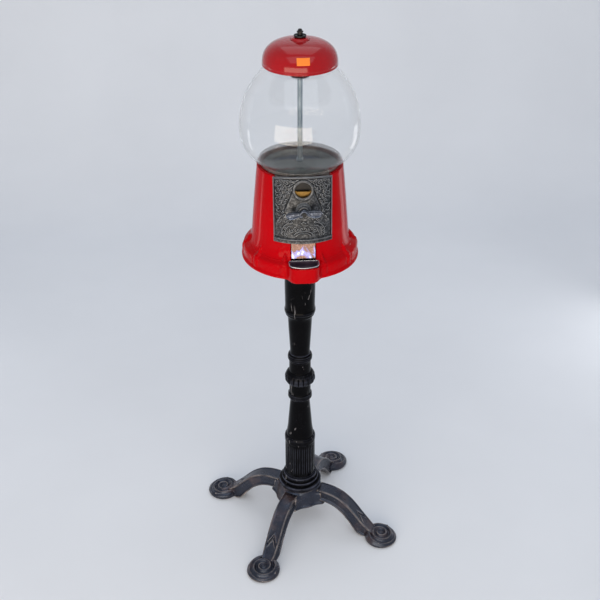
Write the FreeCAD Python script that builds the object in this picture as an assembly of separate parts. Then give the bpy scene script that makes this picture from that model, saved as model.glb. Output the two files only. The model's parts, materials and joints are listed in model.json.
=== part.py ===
import FreeCAD, Part
import math
import os

# Gumball machine with a glass globe, standing on a cast-iron pedestal with four scroll feet.
# Millimetres, +Z up. The origin is on the floor, on the pedestal's axis, and the coin plate faces -Y.

os.makedirs("parts", exist_ok=True)

V = FreeCAD.Vector
X_AXIS = V(1, 0, 0)
Y_AXIS = V(0, 1, 0)
Z_AXIS = V(0, 0, 1)
ORIGIN = V(0, 0, 0)

# ---- driving dimensions -------------------------------------------------------------

# heights of the joints between the stacked pieces
HUB_BOTTOM = 52.0
HUB_TOP = 84.0
LOWER_COLUMN_BOTTOM = 111.5
KNOP_BOTTOM = 284.0
UPPER_COLUMN_BOTTOM = 380.0
COLUMN_TOP = 576.0
STAND_TOP = 582.0
BODY_BOTTOM = 580.6
BODY_TOP = 741.0
ROD_TOP = 951.7

# legs and feet
LEG_COUNT = 4
LEG_NAMES = ["leg_rear_right", "leg_rear_left", "leg_front_left", "leg_front_right"]
FIRST_LEG_ANGLE = 62.4
LEG_WIDTH = 28.0
LEG_ROOT_RADIUS = 23.0
SLOT_FLOOR = 62.0
FOOT_CENTRE_RADIUS = 166.0
FOOT_RADIUS = 30.3
FOOT_THICKNESS = 14.0
LEG_BOLT_RADIUS = 3.0
LEG_BOLT_CIRCLE = 33.0

# hub and column
HUB_RADIUS = 46.0
COLUMN_BORE = 12.0
WIDE_BORE = 21.0
KNOP_RING_RADIUS = 21.6
GEAR_RING_RADIUS = 27.1
GEAR_RING_LOBES = 18
COLLAR_RADIUS = 26.0
TIE_ROD_RADIUS = 4.75
TOP_PLATE_RADIUS = 55.0

# machine body
RIM_RADIUS = 68.3
RIM_LIP = 64.3
LEDGE_TOP = 736.0
LEDGE_THICKNESS = 4.0
BOTTOM_PLATE_RADIUS = 90.0
BOTTOM_PLATE_THICKNESS = 3.0
BOSS_CIRCLE = 84.0
BOSS_RADIUS = 5.5
BOSS_TOP = 598.0
BOTTOM_SCREW_RADIUS = 2.0
RIB_ANGLES = [20.5, 54.0, 90.0, 126.0, 162.0]
RIB_RADIUS = 5.5
RIB_CIRCLE = 90.2
RIB_LOW = 586.0
RIB_HIGH = 602.0
MOUNT_SCREW_CIRCLE = 40.0
MOUNT_SCREW_RADIUS = 3.0

# tray at the foot of the body
BULGE_WIDTH = 57.0
BULGE_FRONT = -110.0
BULGE_TOP = 606.5
CUP_WIDTH = 46.0
CUP_WALL = 1.5
CUP_BACK = -81.4
CUP_FLOOR = 597.0
CUP_ARC_Y = -67.6
CUP_ARC_RADIUS = 38.0
CUP_RIM_WIDTH = 50.0
CUP_RIM_ARC_RADIUS = 40.0
CUP_RIM_TOP = 608.0
SHEET = 1.2

# chute door
FLAP_WIDTH = 37.4
FLAP_LENGTH = 27.2
FLAP_THICKNESS = 1.2
FLAP_TILT = 13.5
FLAP_AXIS_Y = -72.8
FLAP_AXIS_Z = 637.0
FLAP_BARREL = 2.2
FLAP_PIN = 1.2
FLAP_PIN_HALF = 22.8
DOORWAY_WIDTH = 41.0
DOORWAY_BOTTOM = 606.6
DOORWAY_TOP = 641.0
CHUTE_HALF_WIDTH = 17.6
CHUTE_TOP = 698.4

# coin plate and mechanism
PLATE_HALF_WIDTH = 46.0
PLATE_BOTTOM = 636.0
PLATE_SHOULDER = 740.0
PLATE_CROWN = 745.6
PLATE_THICKNESS = 3.6
WINDOW_Z = 724.5
WINDOW_RADIUS = 13.0
SHAFT_Z = 694.0
SHAFT_RADIUS = 4.0
SHAFT_FRONT = -90.0
SHAFT_BACK = -41.0
HANDLE_HUB_RADIUS = 6.2
HANDLE_FRONT = -94.0
HANDLE_BACK = -85.0
HANDLE_REACH = 28.0
WING_FRONT = -91.6
WING_THICKNESS = 5.2
SCREW_HOLE = 1.8
RUNNING = 0.06
SNUG = 0.02
COIN_WHEEL_RADIUS = 36.0
COIN_RADIUS = 12.4
RATCHET_RADIUS = 16.0
RATCHET_TEETH = 12
PAWL_PIVOT = (-28.0, 679.5)
PAWL_NOSE_ANGLE = 187.0
PAWL_NOSE_GAP = 0.9
FRAME_POSTS = [(-30.0, 664.0), (30.0, 664.0), (0.0, 653.6)]
FRAME_POST_RADIUS = 3.2
FRAME_SCREW_RADIUS = 1.5
PAWL_PIN_RADIUS = 1.3
MECH_FRAME_FRONT = -57.0
MECH_FRAME_THICKNESS = 3.0
COIN_WHEEL_FRONT = -61.5
RATCHET_FRONT = -66.0
PAWL_FRONT = -65.0
BEHIND_WINDOW = -67.8

# dispensing wheel and its gearing
PINION_TEETH = 8
WHEEL_TEETH = 40
PINION_PITCH = 9.0
MESH_INNER = 41.5
MESH_OUTER = 48.5
TOOTH_HEIGHT = 1.7
TOOTH_THICKNESS = 2.2
WHEEL_RADIUS = 53.2
WHEEL_BOTTOM = 702.5
WHEEL_TOP = 730.0
POCKET_COUNT = 5
POCKET_RADIUS = 11.0
POCKET_CIRCLE = 26.0
WELL_RADIUS = 54.0
WELL_WALL = 2.0
HOPPER_FLOOR = 699.0
HUB_SLEEVE = 7.0
PLATFORM_TOP = 743.5
PLATFORM_RADIUS = 58.5

# globe, tube and lid
GLASS = 4.0
GLOBE_BOTTOM = 740.2
GLOBE_LIP = 908.0
NECK_RADIUS = 50.5
ROD_RADIUS = 3.175
ROD_CLEARANCE = 3.3
TUBE_NUT_HEIGHT = 4.0
TUBE_RADIUS = 3.97
TUBE_TOP = 880.0
LID_RIM_RADIUS = 57.2
LID_RIM_Z = 898.4
LID_DOME = 38.0
LID_POWER = 2.75
LID_SHEET = 2.4
LID_BOSS_HEIGHT = 3.2
LID_TOP = LID_RIM_Z + LID_DOME + LID_BOSS_HEIGHT
STICKER_WIDTH = 19.4
STICKER_LEFT = -8.6

# ---- helpers ------------------------------------------------------------------------


def save(shape, node):
    shape.exportStep("parts/" + node + ".step")


def lathe(outline):
    """Solid of revolution about Z from a closed outline of (radius, height) points."""
    points = [V(r, 0, z) for r, z in outline]
    face = Part.Face(Part.makePolygon(points + [points[0]]))
    return face.revolve(ORIGIN, Z_AXIS, 360)


def spline(points):
    """Smooth edge through (radius, height) points in the XZ plane."""
    curve = Part.BSplineCurve()
    curve.interpolate([V(a, 0, b) for a, b in points])
    return curve.toShape()


def line(a, b):
    return Part.LineSegment(V(a[0], 0, a[1]), V(b[0], 0, b[1])).toShape()


def lathe_edges(edges):
    return Part.Face(Part.Wire(edges)).revolve(ORIGIN, Z_AXIS, 360)


def inset(points, distance):
    """Points moved sideways, to the left of the direction of travel."""
    moved = []
    last = len(points) - 1
    for i, (a, b) in enumerate(points):
        before = points[max(i - 1, 0)]
        after = points[min(i + 1, last)]
        along = math.hypot(after[0] - before[0], after[1] - before[1])
        da = (after[0] - before[0]) / along
        db = (after[1] - before[1]) / along
        moved.append((a - db * distance, b + da * distance))
    return moved


def disc(radius, low, high, x=0.0, y=0.0):
    return Part.makeCylinder(radius, high - low, V(x, y, low))


def tube(outer, inner, low, high, x=0.0, y=0.0):
    return disc(outer, low, high, x, y).cut(disc(inner, low - 1, high + 1, x, y))


def disc_y(radius, front, back, x=0.0, z=SHAFT_Z):
    """Cylinder along Y between two places on the Y axis."""
    return Part.makeCylinder(radius, back - front, V(x, front, z), Y_AXIS)


def block(x0, x1, y0, y1, z0, z1):
    return Part.makeBox(x1 - x0, y1 - y0, z1 - z0, V(x0, y0, z0))


def hexagon(across_flats, low, high, x=0.0, y=0.0):
    radius = across_flats / math.sqrt(3)
    corners = [V(x + radius * math.cos(math.radians(60 * i)),
                 y + radius * math.sin(math.radians(60 * i)), low) for i in range(7)]
    return Part.Face(Part.makePolygon(corners)).extrude(V(0, 0, high - low))


def nut(across_flats, bore, low, high, x=0.0, y=0.0):
    return hexagon(across_flats, low, high, x, y).cut(disc(bore, low - 1, high + 1, x, y))


def spun(shape, degrees):
    copy = shape.copy()
    copy.rotate(ORIGIN, Z_AXIS, degrees)
    return copy


def around(shape, count, first=0.0):
    """The same piece repeated about the Z axis."""
    return [spun(shape, first + 360.0 * i / count) for i in range(count)]


def group(shapes):
    return Part.makeCompound(shapes)


# ---- pedestal -----------------------------------------------------------------------


def leg_top_curve():
    return [(46.5, 83.6), (66, 82.4), (84, 77), (100, 66.5), (113, 54), (125, 40.5), (136, 29), (146, 21)]


def leg_bottom_curve():
    return [(46.5, 60), (62, 59), (78, 54), (92, 43.5), (104, 30), (114, 16), (124, 5), (134, 0)]


def make_leg():
    top = leg_top_curve()
    bottom = leg_bottom_curve()
    foot_start = FOOT_CENTRE_RADIUS - 8
    edges = [spline(top),
             line(top[-1], (foot_start, FOOT_THICKNESS)),
             line((foot_start, FOOT_THICKNESS), (foot_start, 0)),
             line((foot_start, 0), bottom[-1]),
             spline(bottom),
             line(bottom[0], top[0])]
    half = LEG_WIDTH / 2
    arch = Part.Face(Part.Wire(Part.__sortEdges__(edges)))
    arch.translate(V(0, -half, 0))
    arch = arch.extrude(V(0, LEG_WIDTH, 0))
    tongue = block(LEG_ROOT_RADIUS, 48, -half, half, SLOT_FLOOR + 0.1, HUB_TOP - 0.4)
    foot = disc(FOOT_RADIUS, 0, FOOT_THICKNESS, FOOT_CENTRE_RADIUS)
    foot = foot.makeFillet(4.0, [foot.Edges[0]])
    leg = arch.fuse([tongue, foot]).removeSplitter()
    return leg.cut(disc(LEG_BOLT_RADIUS + SNUG, SLOT_FLOOR - 1, SLOT_FLOOR + 14, LEG_BOLT_CIRCLE))


def make_hub():
    outline = [(TIE_ROD_RADIUS + 0.3, 60), (HUB_RADIUS - 7, 60), (HUB_RADIUS - 6, HUB_BOTTOM),
               (HUB_RADIUS, HUB_BOTTOM), (HUB_RADIUS, 70), (HUB_RADIUS - 3, 79), (HUB_RADIUS - 7, HUB_TOP),
               (TIE_ROD_RADIUS + 0.3, HUB_TOP)]
    hub = lathe(outline)
    half = LEG_WIDTH / 2 + 0.1
    slot = block(LEG_ROOT_RADIUS - 0.2, HUB_RADIUS + 5, -half, half, SLOT_FLOOR, HUB_TOP + 1)
    hole = disc(LEG_BOLT_RADIUS + SNUG, HUB_BOTTOM, SLOT_FLOOR + 1, LEG_BOLT_CIRCLE)
    hub = hub.cut(around(slot, LEG_COUNT, FIRST_LEG_ANGLE))
    return hub.cut(around(hole, LEG_COUNT, FIRST_LEG_ANGLE))


def make_leg_bolt():
    shank = disc(LEG_BOLT_RADIUS, 58, SLOT_FLOOR + 13, LEG_BOLT_CIRCLE)
    return shank.fuse(hexagon(10, 56, 60, LEG_BOLT_CIRCLE))


def make_base_ring():
    outline = [(COLUMN_BORE, HUB_TOP), (37.5, HUB_TOP), (37.5, 85.6), (39.0, 86.4), (39.7, 88), (39.7, 92),
               (39.0, 93.6), (37.5, 94.4), (33.2, 94.8), (34.0, 96.2), (34.0, 100.4), (33.0, 101.8),
               (30.2, 102.4), (30.8, 103.8), (30.8, 108.6), (29.6, 110.6), (27.6, LOWER_COLUMN_BOTTOM),
               (COLUMN_BORE, LOWER_COLUMN_BOTTOM)]
    return lathe(outline)


def make_lower_column():
    outer = [(27.3, LOWER_COLUMN_BOTTOM), (27.5, 186.5), (28.1, 188.5), (28.1, 196.5), (27.0, 199),
             (24.9, 200.5), (24.6, 204), (22.5, 217), (18.9, 261.6), (18.2, 270.4), (17.6, 281),
             (18.4, KNOP_BOTTOM)]
    inner = [(COLUMN_BORE, KNOP_BOTTOM), (COLUMN_BORE, 210), (WIDE_BORE, 185),
             (WIDE_BORE, LOWER_COLUMN_BOTTOM)]
    return lathe(outer + inner)


def make_knop():
    shaft = [(COLUMN_BORE, KNOP_BOTTOM), (KNOP_RING_RADIUS - 1.6, KNOP_BOTTOM),
             (KNOP_RING_RADIUS, KNOP_BOTTOM + 3), (KNOP_RING_RADIUS, KNOP_BOTTOM + 8.5),
             (20.2, KNOP_BOTTOM + 11), (19.2, KNOP_BOTTOM + 12.5), (19.2, 319), (21.5, 323), (21.5, 339),
             (19.2, 343), (19.2, 364), (20.0, 366), (21.0, 367), (KNOP_RING_RADIUS, 369.5),
             (KNOP_RING_RADIUS, 374), (20.8, 376.5), (18.6, 378), (18.2, UPPER_COLUMN_BOTTOM),
             (COLUMN_BORE, UPPER_COLUMN_BOTTOM)]
    gear = lathe([(20, 319), (24.6, 319.6), (GEAR_RING_RADIUS, 325), (GEAR_RING_RADIUS, 331.5),
                  (24.2, 337.5), (20, 341)])
    notch = disc(1.7, 310, 350, GEAR_RING_RADIUS + 0.3)
    gear = gear.cut(around(notch, GEAR_RING_LOBES, 180.0 / GEAR_RING_LOBES))
    return lathe(shaft).fuse(gear)


def make_upper_column():
    outer = [(17.6, UPPER_COLUMN_BOTTOM), (17.5, 386), (17.9, 394), (19.0, 413.8), (20.1, 434.5),
             (20.9, 452), (22.5, 458.5), (25.6, 461), (26.2, 464), (26.8, 466.5), (26.8, 471.5),
             (26.0, 474), (25.7, 480), (COLLAR_RADIUS + 0.2, 516), (COLLAR_RADIUS + 0.2, COLUMN_TOP)]
    inner = [(20.5, COLUMN_TOP), (20.5, 480), (COLUMN_BORE, 455), (COLUMN_BORE, UPPER_COLUMN_BOTTOM)]
    return lathe(outer + inner)


def make_top_plate():
    boss_bottom = COLUMN_TOP - 20
    plate = disc(TOP_PLATE_RADIUS, COLUMN_TOP, STAND_TOP).fuse(disc(11, boss_bottom, COLUMN_TOP))
    plate = plate.cut(disc(TIE_ROD_RADIUS + SNUG, boss_bottom - 1, STAND_TOP - 2))
    return plate.cut(around(disc(MOUNT_SCREW_RADIUS + SNUG, 570, 590, MOUNT_SCREW_CIRCLE), 3, 90))


def make_mount_screw():
    shank = disc(MOUNT_SCREW_RADIUS, STAND_TOP - 9, STAND_TOP + 4, MOUNT_SCREW_CIRCLE)
    head_low = STAND_TOP + BOTTOM_PLATE_THICKNESS
    return shank.fuse(disc(5.2, head_low, head_low + 3.4, MOUNT_SCREW_CIRCLE))


# ---- machine body -------------------------------------------------------------------


def body_side():
    """Outer side of the body from the rim down to the flare."""
    return [(RIM_RADIUS, BODY_TOP - 1), (68.8, 733), (70.5, 719.8), (73.9, 683.2), (77.1, 645.8), (78.9, 624)]


def side_radius(z):
    """Outer radius of the body at a height, by straight lines between the side's points."""
    side = body_side()
    for (r1, z1), (r0, z0) in zip(side, side[1:]):
        if z0 <= z <= z1:
            return r0 + (r1 - r0) * (z - z0) / (z1 - z0)
    return RIM_RADIUS


def tray_block(half, arc_radius, back, low, high):
    """Block with straight back and sides and one wide arc in front."""
    reach = CUP_ARC_Y - arc_radius - 1
    return block(-half, half, reach, back, low, high).common(disc(arc_radius, low, high, 0, CUP_ARC_Y))


def make_bulge():
    half = BULGE_WIDTH / 2
    corner = 11.0
    outline = [V(-half, -70, 0), V(-half, BULGE_FRONT + corner, 0), V(half, BULGE_FRONT + corner, 0),
               V(half, -70, 0)]
    middle = V(0, BULGE_FRONT, 0)
    front = Part.Arc(outline[1], middle, outline[2]).toShape()
    edges = [Part.LineSegment(outline[0], outline[1]).toShape(), front,
             Part.LineSegment(outline[2], outline[3]).toShape(),
             Part.LineSegment(outline[3], outline[0]).toShape()]
    face = Part.Face(Part.Wire(edges))
    face.translate(V(0, 0, BODY_BOTTOM))
    return face.extrude(V(0, 0, BULGE_TOP - BODY_BOTTOM))


def make_ribs():
    """Rounded lobes round the flared foot, each with a pointed bud above it."""
    lobe = disc(RIB_RADIUS, RIB_LOW, RIB_HIGH, RIB_CIRCLE)
    lobe = lobe.makeFillet(2.5, [e for e in lobe.Edges if abs(e.CenterOfMass.z - RIB_HIGH) < 0.1])
    bud = Part.makeCone(RIB_RADIUS - 0.8, 1.0, 18, V(RIB_CIRCLE - 3.2, 0, RIB_HIGH - 3))
    bud.rotate(V(RIB_CIRCLE - 3.2, 0, RIB_HIGH - 3), Y_AXIS, -24)
    rib = lobe.fuse(bud)
    return [spun(rib, side * angle - 90) for angle in RIB_ANGLES for side in (-1, 1)]


def flap_rod(radius, half_length):
    """Cylinder on the hinge axis of the chute door."""
    return Part.makeCylinder(radius, 2 * half_length, V(-half_length, FLAP_AXIS_Y, FLAP_AXIS_Z), X_AXIS)


def make_body():
    flare = [(79.6, 618), (80.6, 612.5), (83.6, 606.5), (90.4, 602.8), (93.2, 600.2), (94.0, 592),
             (95.4, 589), (96.1, BODY_BOTTOM)]
    inner_flare = [(91.5, BODY_BOTTOM), (90.6, 590), (89.0, 597.2), (81.0, 601.8), (77.2, 609), (75, 624)]
    outer = [(RIM_LIP, BODY_TOP), (RIM_RADIUS - 0.8, BODY_TOP)] + body_side() + flare
    ledge_inner = RIM_LIP - 6.3
    inner = inner_flare + [(73.1, 645.8), (69.9, 683.2), (66.5, 719.8),
                           (ledge_inner, LEDGE_TOP - LEDGE_THICKNESS), (ledge_inner, LEDGE_TOP),
                           (RIM_LIP, LEDGE_TOP)]
    body = lathe(outer + inner)
    inside = lathe([(0, 570), (91.5, 570)] + inner_flare + [(0, 624)])
    added = [piece.cut(inside) for piece in [make_bulge()] + make_ribs()]
    added += around(disc(BOSS_RADIUS, STAND_TOP + BOTTOM_PLATE_THICKNESS, BOSS_TOP, BOSS_CIRCLE), 4, 45)
    body = body.fuse(added).removeSplitter()
    cup_low = CUP_FLOOR - CUP_WALL - 0.5
    cup_hole = tray_block(CUP_WIDTH / 2 + 0.6, CUP_ARC_RADIUS + 0.6, CUP_BACK + 0.6, cup_low, BULGE_TOP + 9)
    doorway = DOORWAY_WIDTH / 2
    body = body.cut([block(-40, 40, -90, -50, 648, LEDGE_TOP - LEDGE_THICKNESS - 0.5),
                     block(-17, 17, -90, -56, 700, 739.2),
                     block(-doorway, doorway, -120, -60, DOORWAY_BOTTOM, DOORWAY_TOP), cup_hole])
    pin = flap_rod(FLAP_PIN + SNUG, FLAP_PIN_HALF)
    screw_hole = disc(BOTTOM_SCREW_RADIUS + SNUG, BODY_BOTTOM - 1, BOSS_TOP - 3, BOSS_CIRCLE)
    return body.cut([pin] + around(screw_hole, 4, 45))


def make_bottom_plate():
    low = STAND_TOP
    high = STAND_TOP + BOTTOM_PLATE_THICKNESS
    plate = disc(BOTTOM_PLATE_RADIUS, low, high).fuse(disc(8, high, high + 8))
    holes = [disc(ROD_RADIUS + SNUG, low - 1, high + 9)]
    holes += around(disc(MOUNT_SCREW_RADIUS + SNUG, low - 1, high + 1, MOUNT_SCREW_CIRCLE), 3, 90)
    holes += around(disc(BOTTOM_SCREW_RADIUS + SNUG, low - 1, high + 1, BOSS_CIRCLE), 4, 45)
    return plate.cut(holes)


def make_bottom_screw():
    shank = disc(BOTTOM_SCREW_RADIUS, STAND_TOP - 1, STAND_TOP + 11, BOSS_CIRCLE)
    return shank.fuse(disc(3.8, STAND_TOP - 2.2, STAND_TOP, BOSS_CIRCLE))


# ---- globe, hopper, tube and lid -----------------------------------------------------


def globe_side():
    return [(65.2, 745.0), (71.4, 751.4), (79.5, 758.2), (85.1, 765.7), (89.5, 774.1), (93.1, 784.1),
            (94.5, 797), (94.0, 813), (91.9, 828.5), (88.0, 842.3), (82.3, 856.4), (74.2, 869.9),
            (65.5, 882.3), (56.5, 892.2)]


def make_globe():
    outer = globe_side()
    inner = inset(outer, GLASS)
    inner_neck = NECK_RADIUS - GLASS
    foot_inner = 60.0
    edges = [spline(outer),
             line(outer[-1], (NECK_RADIUS, 898.5)),
             line((NECK_RADIUS, 898.5), (NECK_RADIUS, GLOBE_LIP)),
             line((NECK_RADIUS, GLOBE_LIP), (inner_neck, GLOBE_LIP)),
             line((inner_neck, GLOBE_LIP), (inner_neck, 896.5)),
             line((inner_neck, 896.5), inner[-1]),
             spline(inner),
             line(inner[0], (foot_inner, 743.5)),
             line((foot_inner, 743.5), (foot_inner, GLOBE_BOTTOM)),
             line((foot_inner, GLOBE_BOTTOM), (63.6, GLOBE_BOTTOM)),
             line((63.6, GLOBE_BOTTOM), (63.6, 743)),
             line((63.6, 743), outer[0])]
    return lathe_edges(Part.__sortEdges__(edges))


def make_hopper():
    outer = WELL_RADIUS + WELL_WALL
    outline = [(ROD_CLEARANCE, HOPPER_FLOOR), (outer, HOPPER_FLOOR), (outer, LEDGE_TOP),
               (63.8, LEDGE_TOP), (63.8, LEDGE_TOP + 2), (WELL_RADIUS, LEDGE_TOP + 2),
               (WELL_RADIUS, HOPPER_FLOOR + 3), (HUB_SLEEVE, HOPPER_FLOOR + 3), (HUB_SLEEVE, WHEEL_TOP + 1),
               (HUB_SLEEVE - 1, WHEEL_TOP + 1), (HUB_SLEEVE - 1, PLATFORM_TOP - 2.5),
               (ROD_CLEARANCE, PLATFORM_TOP - 2.5)]
    hopper = lathe(outline)
    drop_hole = disc(POCKET_RADIUS + 1, HOPPER_FLOOR - 1, HOPPER_FLOOR + 4, 0, -POCKET_CIRCLE)
    pinion_slot = block(-13, 13, -MESH_OUTER - 1.5, -MESH_INNER + 1.5, HOPPER_FLOOR - 1, HOPPER_FLOOR + 4)
    return hopper.cut([drop_hole, pinion_slot])


def make_platform():
    """Half-round cover over the front of the dispensing wheel, with a wall along its rear edge."""
    low = PLATFORM_TOP - 2.5
    rear = 4.0
    top = disc(PLATFORM_RADIUS, low, PLATFORM_TOP)
    skirt = tube(PLATFORM_RADIUS, PLATFORM_RADIUS - 1.3, LEDGE_TOP + 2, low)
    cover = top.fuse(skirt).cut(block(-70, 70, rear, 70, 700, 760))
    wall = block(-53, 53, rear - 2, rear, WHEEL_TOP + 1.2, low)
    wall = wall.cut(disc(HUB_SLEEVE + 0.4, 700, low))
    return cover.fuse(wall).cut(disc(ROD_CLEARANCE, 700, 760))


def make_gasket():
    return tube(63.8, 59.8, LEDGE_TOP + 2, GLOBE_BOTTOM)


def make_tube_nut():
    return nut(11, ROD_CLEARANCE, PLATFORM_TOP, PLATFORM_TOP + TUBE_NUT_HEIGHT)


def make_center_tube():
    return tube(TUBE_RADIUS, ROD_CLEARANCE, PLATFORM_TOP + TUBE_NUT_HEIGHT, TUBE_TOP)


def make_tube_washer():
    return tube(15, ROD_CLEARANCE, TUBE_TOP, TUBE_TOP + 2)


def make_center_rod():
    rod = disc(ROD_RADIUS, STAND_TOP + 1, ROD_TOP)
    return rod.makeChamfer(0.8, [rod.Edges[0]])


def lid_height(r):
    """Height of the lid's outer face at a radius: a squarish dome."""
    return LID_RIM_Z + LID_DOME * (1 - (r / LID_RIM_RADIUS) ** LID_POWER) ** (1 / LID_POWER)


def make_lid():
    radii = [0.0, 20.0, 33.0, 42.0, 49.0, 53.2, 55.6, 56.7]
    outer = [(r, lid_height(r)) for r in radii] + [(LID_RIM_RADIUS, LID_RIM_Z + 3)]
    scale = (LID_RIM_RADIUS - LID_SHEET) / LID_RIM_RADIUS
    inner = [(r * scale, z - LID_SHEET) for r, z in outer]
    rim_inner = (inner[-1][0], LID_RIM_Z)
    edges = [spline(outer),
             line(outer[-1], (LID_RIM_RADIUS, LID_RIM_Z)),
             line((LID_RIM_RADIUS, LID_RIM_Z), rim_inner),
             line(rim_inner, inner[-1]),
             spline(inner),
             line(inner[0], outer[0])]
    shell = lathe_edges(Part.__sortEdges__(edges))
    boss_low = LID_TOP - 4.8
    boss_side = [(14.5, boss_low), (14.0, LID_TOP - 2.2), (12.6, LID_TOP - 0.6)]
    boss = lathe([(0, boss_low)] + boss_side + [(0, LID_TOP)])
    stop_low = GLOBE_LIP + 0.4
    stop = lathe([(46, stop_low), (55.0, stop_low), (54.4, stop_low + 2.4), (46, stop_low + 2.4)])
    return shell.fuse([boss, stop]).cut(disc(ROD_RADIUS + 0.4, 890, 960))


def make_sticker():
    """Small blank paper label wrapped on the lid's front."""
    radii = [49.8, 51.5, 53.2, 54.6, 55.5]
    face = [(r, lid_height(r)) for r in radii]
    low = inset(face, 0.15)
    high = inset(face, 0.4)
    wrap = lathe(low + list(reversed(high)))
    return wrap.common(block(STICKER_LEFT, STICKER_LEFT + STICKER_WIDTH, -70, -30, 890, 930))


def make_lid_washer():
    bore = ROD_RADIUS + 0.4
    return lathe([(bore, LID_TOP + 0.1), (8.7, LID_TOP - 0.1), (9.5, LID_TOP + 1.2), (9.3, LID_TOP + 3.2),
                  (8.5, LID_TOP + 3.4), (7.8, LID_TOP + 1.9), (bore, LID_TOP + 1.9)])


def make_lid_nut():
    return nut(9.4, ROD_RADIUS + RUNNING, LID_TOP + 2.1, LID_TOP + 9.2)


# ---- coin plate and mechanism ---------------------------------------------------------


def make_plate():
    """Curved plate with a coin window, a shaft boss, and posts for the mechanism behind it."""
    heights = [PLATE_BOTTOM, 645.8, 683.2, 719.8, PLATE_SHOULDER, PLATE_CROWN]
    inner = [(side_radius(z) + 0.1, z) for z in heights]
    outer = [(r + PLATE_THICKNESS, z) for r, z in inner]
    shell = lathe(inner + list(reversed(outer)))
    left = [V(-PLATE_HALF_WIDTH, -90, 600), V(-PLATE_HALF_WIDTH, -90, PLATE_SHOULDER)]
    right = [V(PLATE_HALF_WIDTH, -90, PLATE_SHOULDER), V(PLATE_HALF_WIDTH, -90, 600)]
    crown = Part.Arc(left[1], V(0, -90, PLATE_CROWN), right[0]).toShape()
    edges = [Part.makeLine(left[0], left[1]), crown, Part.makeLine(right[0], right[1]),
             Part.makeLine(right[1], left[0])]
    plate = shell.common(Part.Face(Part.Wire(edges)).extrude(V(0, 50, 0)))
    hollow = lathe([(0, 600), (inner[0][0], 600)] + inner + [(inner[-1][0], 760), (0, 760)])
    core = lathe([(0, 600), (outer[0][0] - 1, 600)] + [(r - 1, z) for r, z in outer] + [(0, outer[-1][1])])
    window_boss = disc_y(16.5, -78.4, -60, 0, WINDOW_Z).cut(hollow)
    shaft_boss = disc_y(11, -84, -60).cut(hollow)
    inside = [disc_y(FRAME_POST_RADIUS, -85, MECH_FRAME_FRONT, x, z).common(core) for x, z in FRAME_POSTS]
    inside.append(disc_y(7.5, -85, -67.5).common(core))
    inside.append(disc_y(3.0, -85, -67, PAWL_PIVOT[0], PAWL_PIVOT[1]).common(core))
    plate = plate.fuse([window_boss, shaft_boss] + inside)
    holes = [disc_y(WINDOW_RADIUS, -95, -60, 0, WINDOW_Z), disc_y(SHAFT_RADIUS + RUNNING, -95, -60),
             disc_y(PAWL_PIN_RADIUS + SNUG, -72, -50, PAWL_PIVOT[0], PAWL_PIVOT[1])]
    holes += [disc_y(FRAME_SCREW_RADIUS + SNUG, -66, -50, x, z) for x, z in FRAME_POSTS]
    return plate.cut(holes)


def make_mech_frame():
    corners = [(-36, 659), (-36, 671), (-13, 697), (13, 697), (36, 671), (36, 659), (6, 648.5), (-6, 648.5)]
    points = [V(x, MECH_FRAME_FRONT, z) for x, z in corners]
    frame = Part.Face(Part.makePolygon(points + [points[0]])).extrude(V(0, MECH_FRAME_THICKNESS, 0))
    holes = [disc_y(SHAFT_RADIUS + RUNNING, -60, -50)]
    holes += [disc_y(FRAME_SCREW_RADIUS + SNUG, -60, -50, x, z) for x, z in FRAME_POSTS]
    return frame.cut(holes)


def make_frame_screws():
    head_front = MECH_FRAME_FRONT + MECH_FRAME_THICKNESS
    return [disc_y(FRAME_SCREW_RADIUS, head_front - 11, head_front, x, z).fuse(
        disc_y(3, head_front, head_front + 2, x, z)) for x, z in FRAME_POSTS]


def make_coin_seat():
    """Brass shelf in the lower half of the coin window."""
    back = BEHIND_WINDOW + 1.4
    tongue = disc_y(WINDOW_RADIUS - 0.4, back - 8, back, 0, WINDOW_Z)
    flange = disc_y(16, BEHIND_WINDOW, back, 0, WINDOW_Z)
    return tongue.fuse(flange).common(block(-20, 20, -80, -60, 700, WINDOW_Z - 1.6))


def make_coin_gauge():
    """Dark plate behind the upper half of the coin window."""
    plate = disc_y(14.5, BEHIND_WINDOW, BEHIND_WINDOW + 1.4, 0, WINDOW_Z)
    return plate.common(block(-20, 20, -80, -60, WINDOW_Z - 1.4, 739))


def make_shaft():
    shaft = disc_y(SHAFT_RADIUS, SHAFT_FRONT, SHAFT_BACK)
    return shaft.cut(disc_y(1.6, SHAFT_FRONT - 1, SHAFT_FRONT + 9))


def make_handle():
    def corner(x, z):
        return V(x, WING_FRONT, SHAFT_Z + z)

    hub = disc_y(HANDLE_HUB_RADIUS, HANDLE_FRONT, HANDLE_BACK)
    upper = Part.Arc(corner(5, 3.5), corner(13, 3.0), corner(19, 6)).toShape()
    tip = Part.Arc(corner(19, 6), corner(HANDLE_REACH, -0.5), corner(19, -7)).toShape()
    lower = Part.Arc(corner(19, -7), corner(13, -3.6), corner(5, -3.5)).toShape()
    root = Part.LineSegment(corner(5, -3.5), corner(5, 3.5)).toShape()
    wing = Part.Face(Part.Wire([upper, tip, lower, root])).extrude(V(0, WING_THICKNESS, 0))
    other = wing.mirror(V(0, 0, SHAFT_Z), X_AXIS)
    handle = hub.fuse([wing, other])
    return handle.cut([disc_y(SHAFT_RADIUS + SNUG, SHAFT_FRONT, -80), disc_y(SCREW_HOLE, -96, -80)])


def make_handle_screw():
    return disc_y(1.55, HANDLE_FRONT, SHAFT_FRONT + 8).fuse(disc_y(3.4, HANDLE_FRONT - 2, HANDLE_FRONT))


def make_coin_wheel():
    wheel = disc_y(COIN_WHEEL_RADIUS, COIN_WHEEL_FRONT, COIN_WHEEL_FRONT + 3)
    pocket = disc_y(COIN_RADIUS, -70, -50, 0, WINDOW_Z)
    return wheel.cut([pocket, disc_y(SHAFT_RADIUS + SNUG, -70, -50)])


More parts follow.
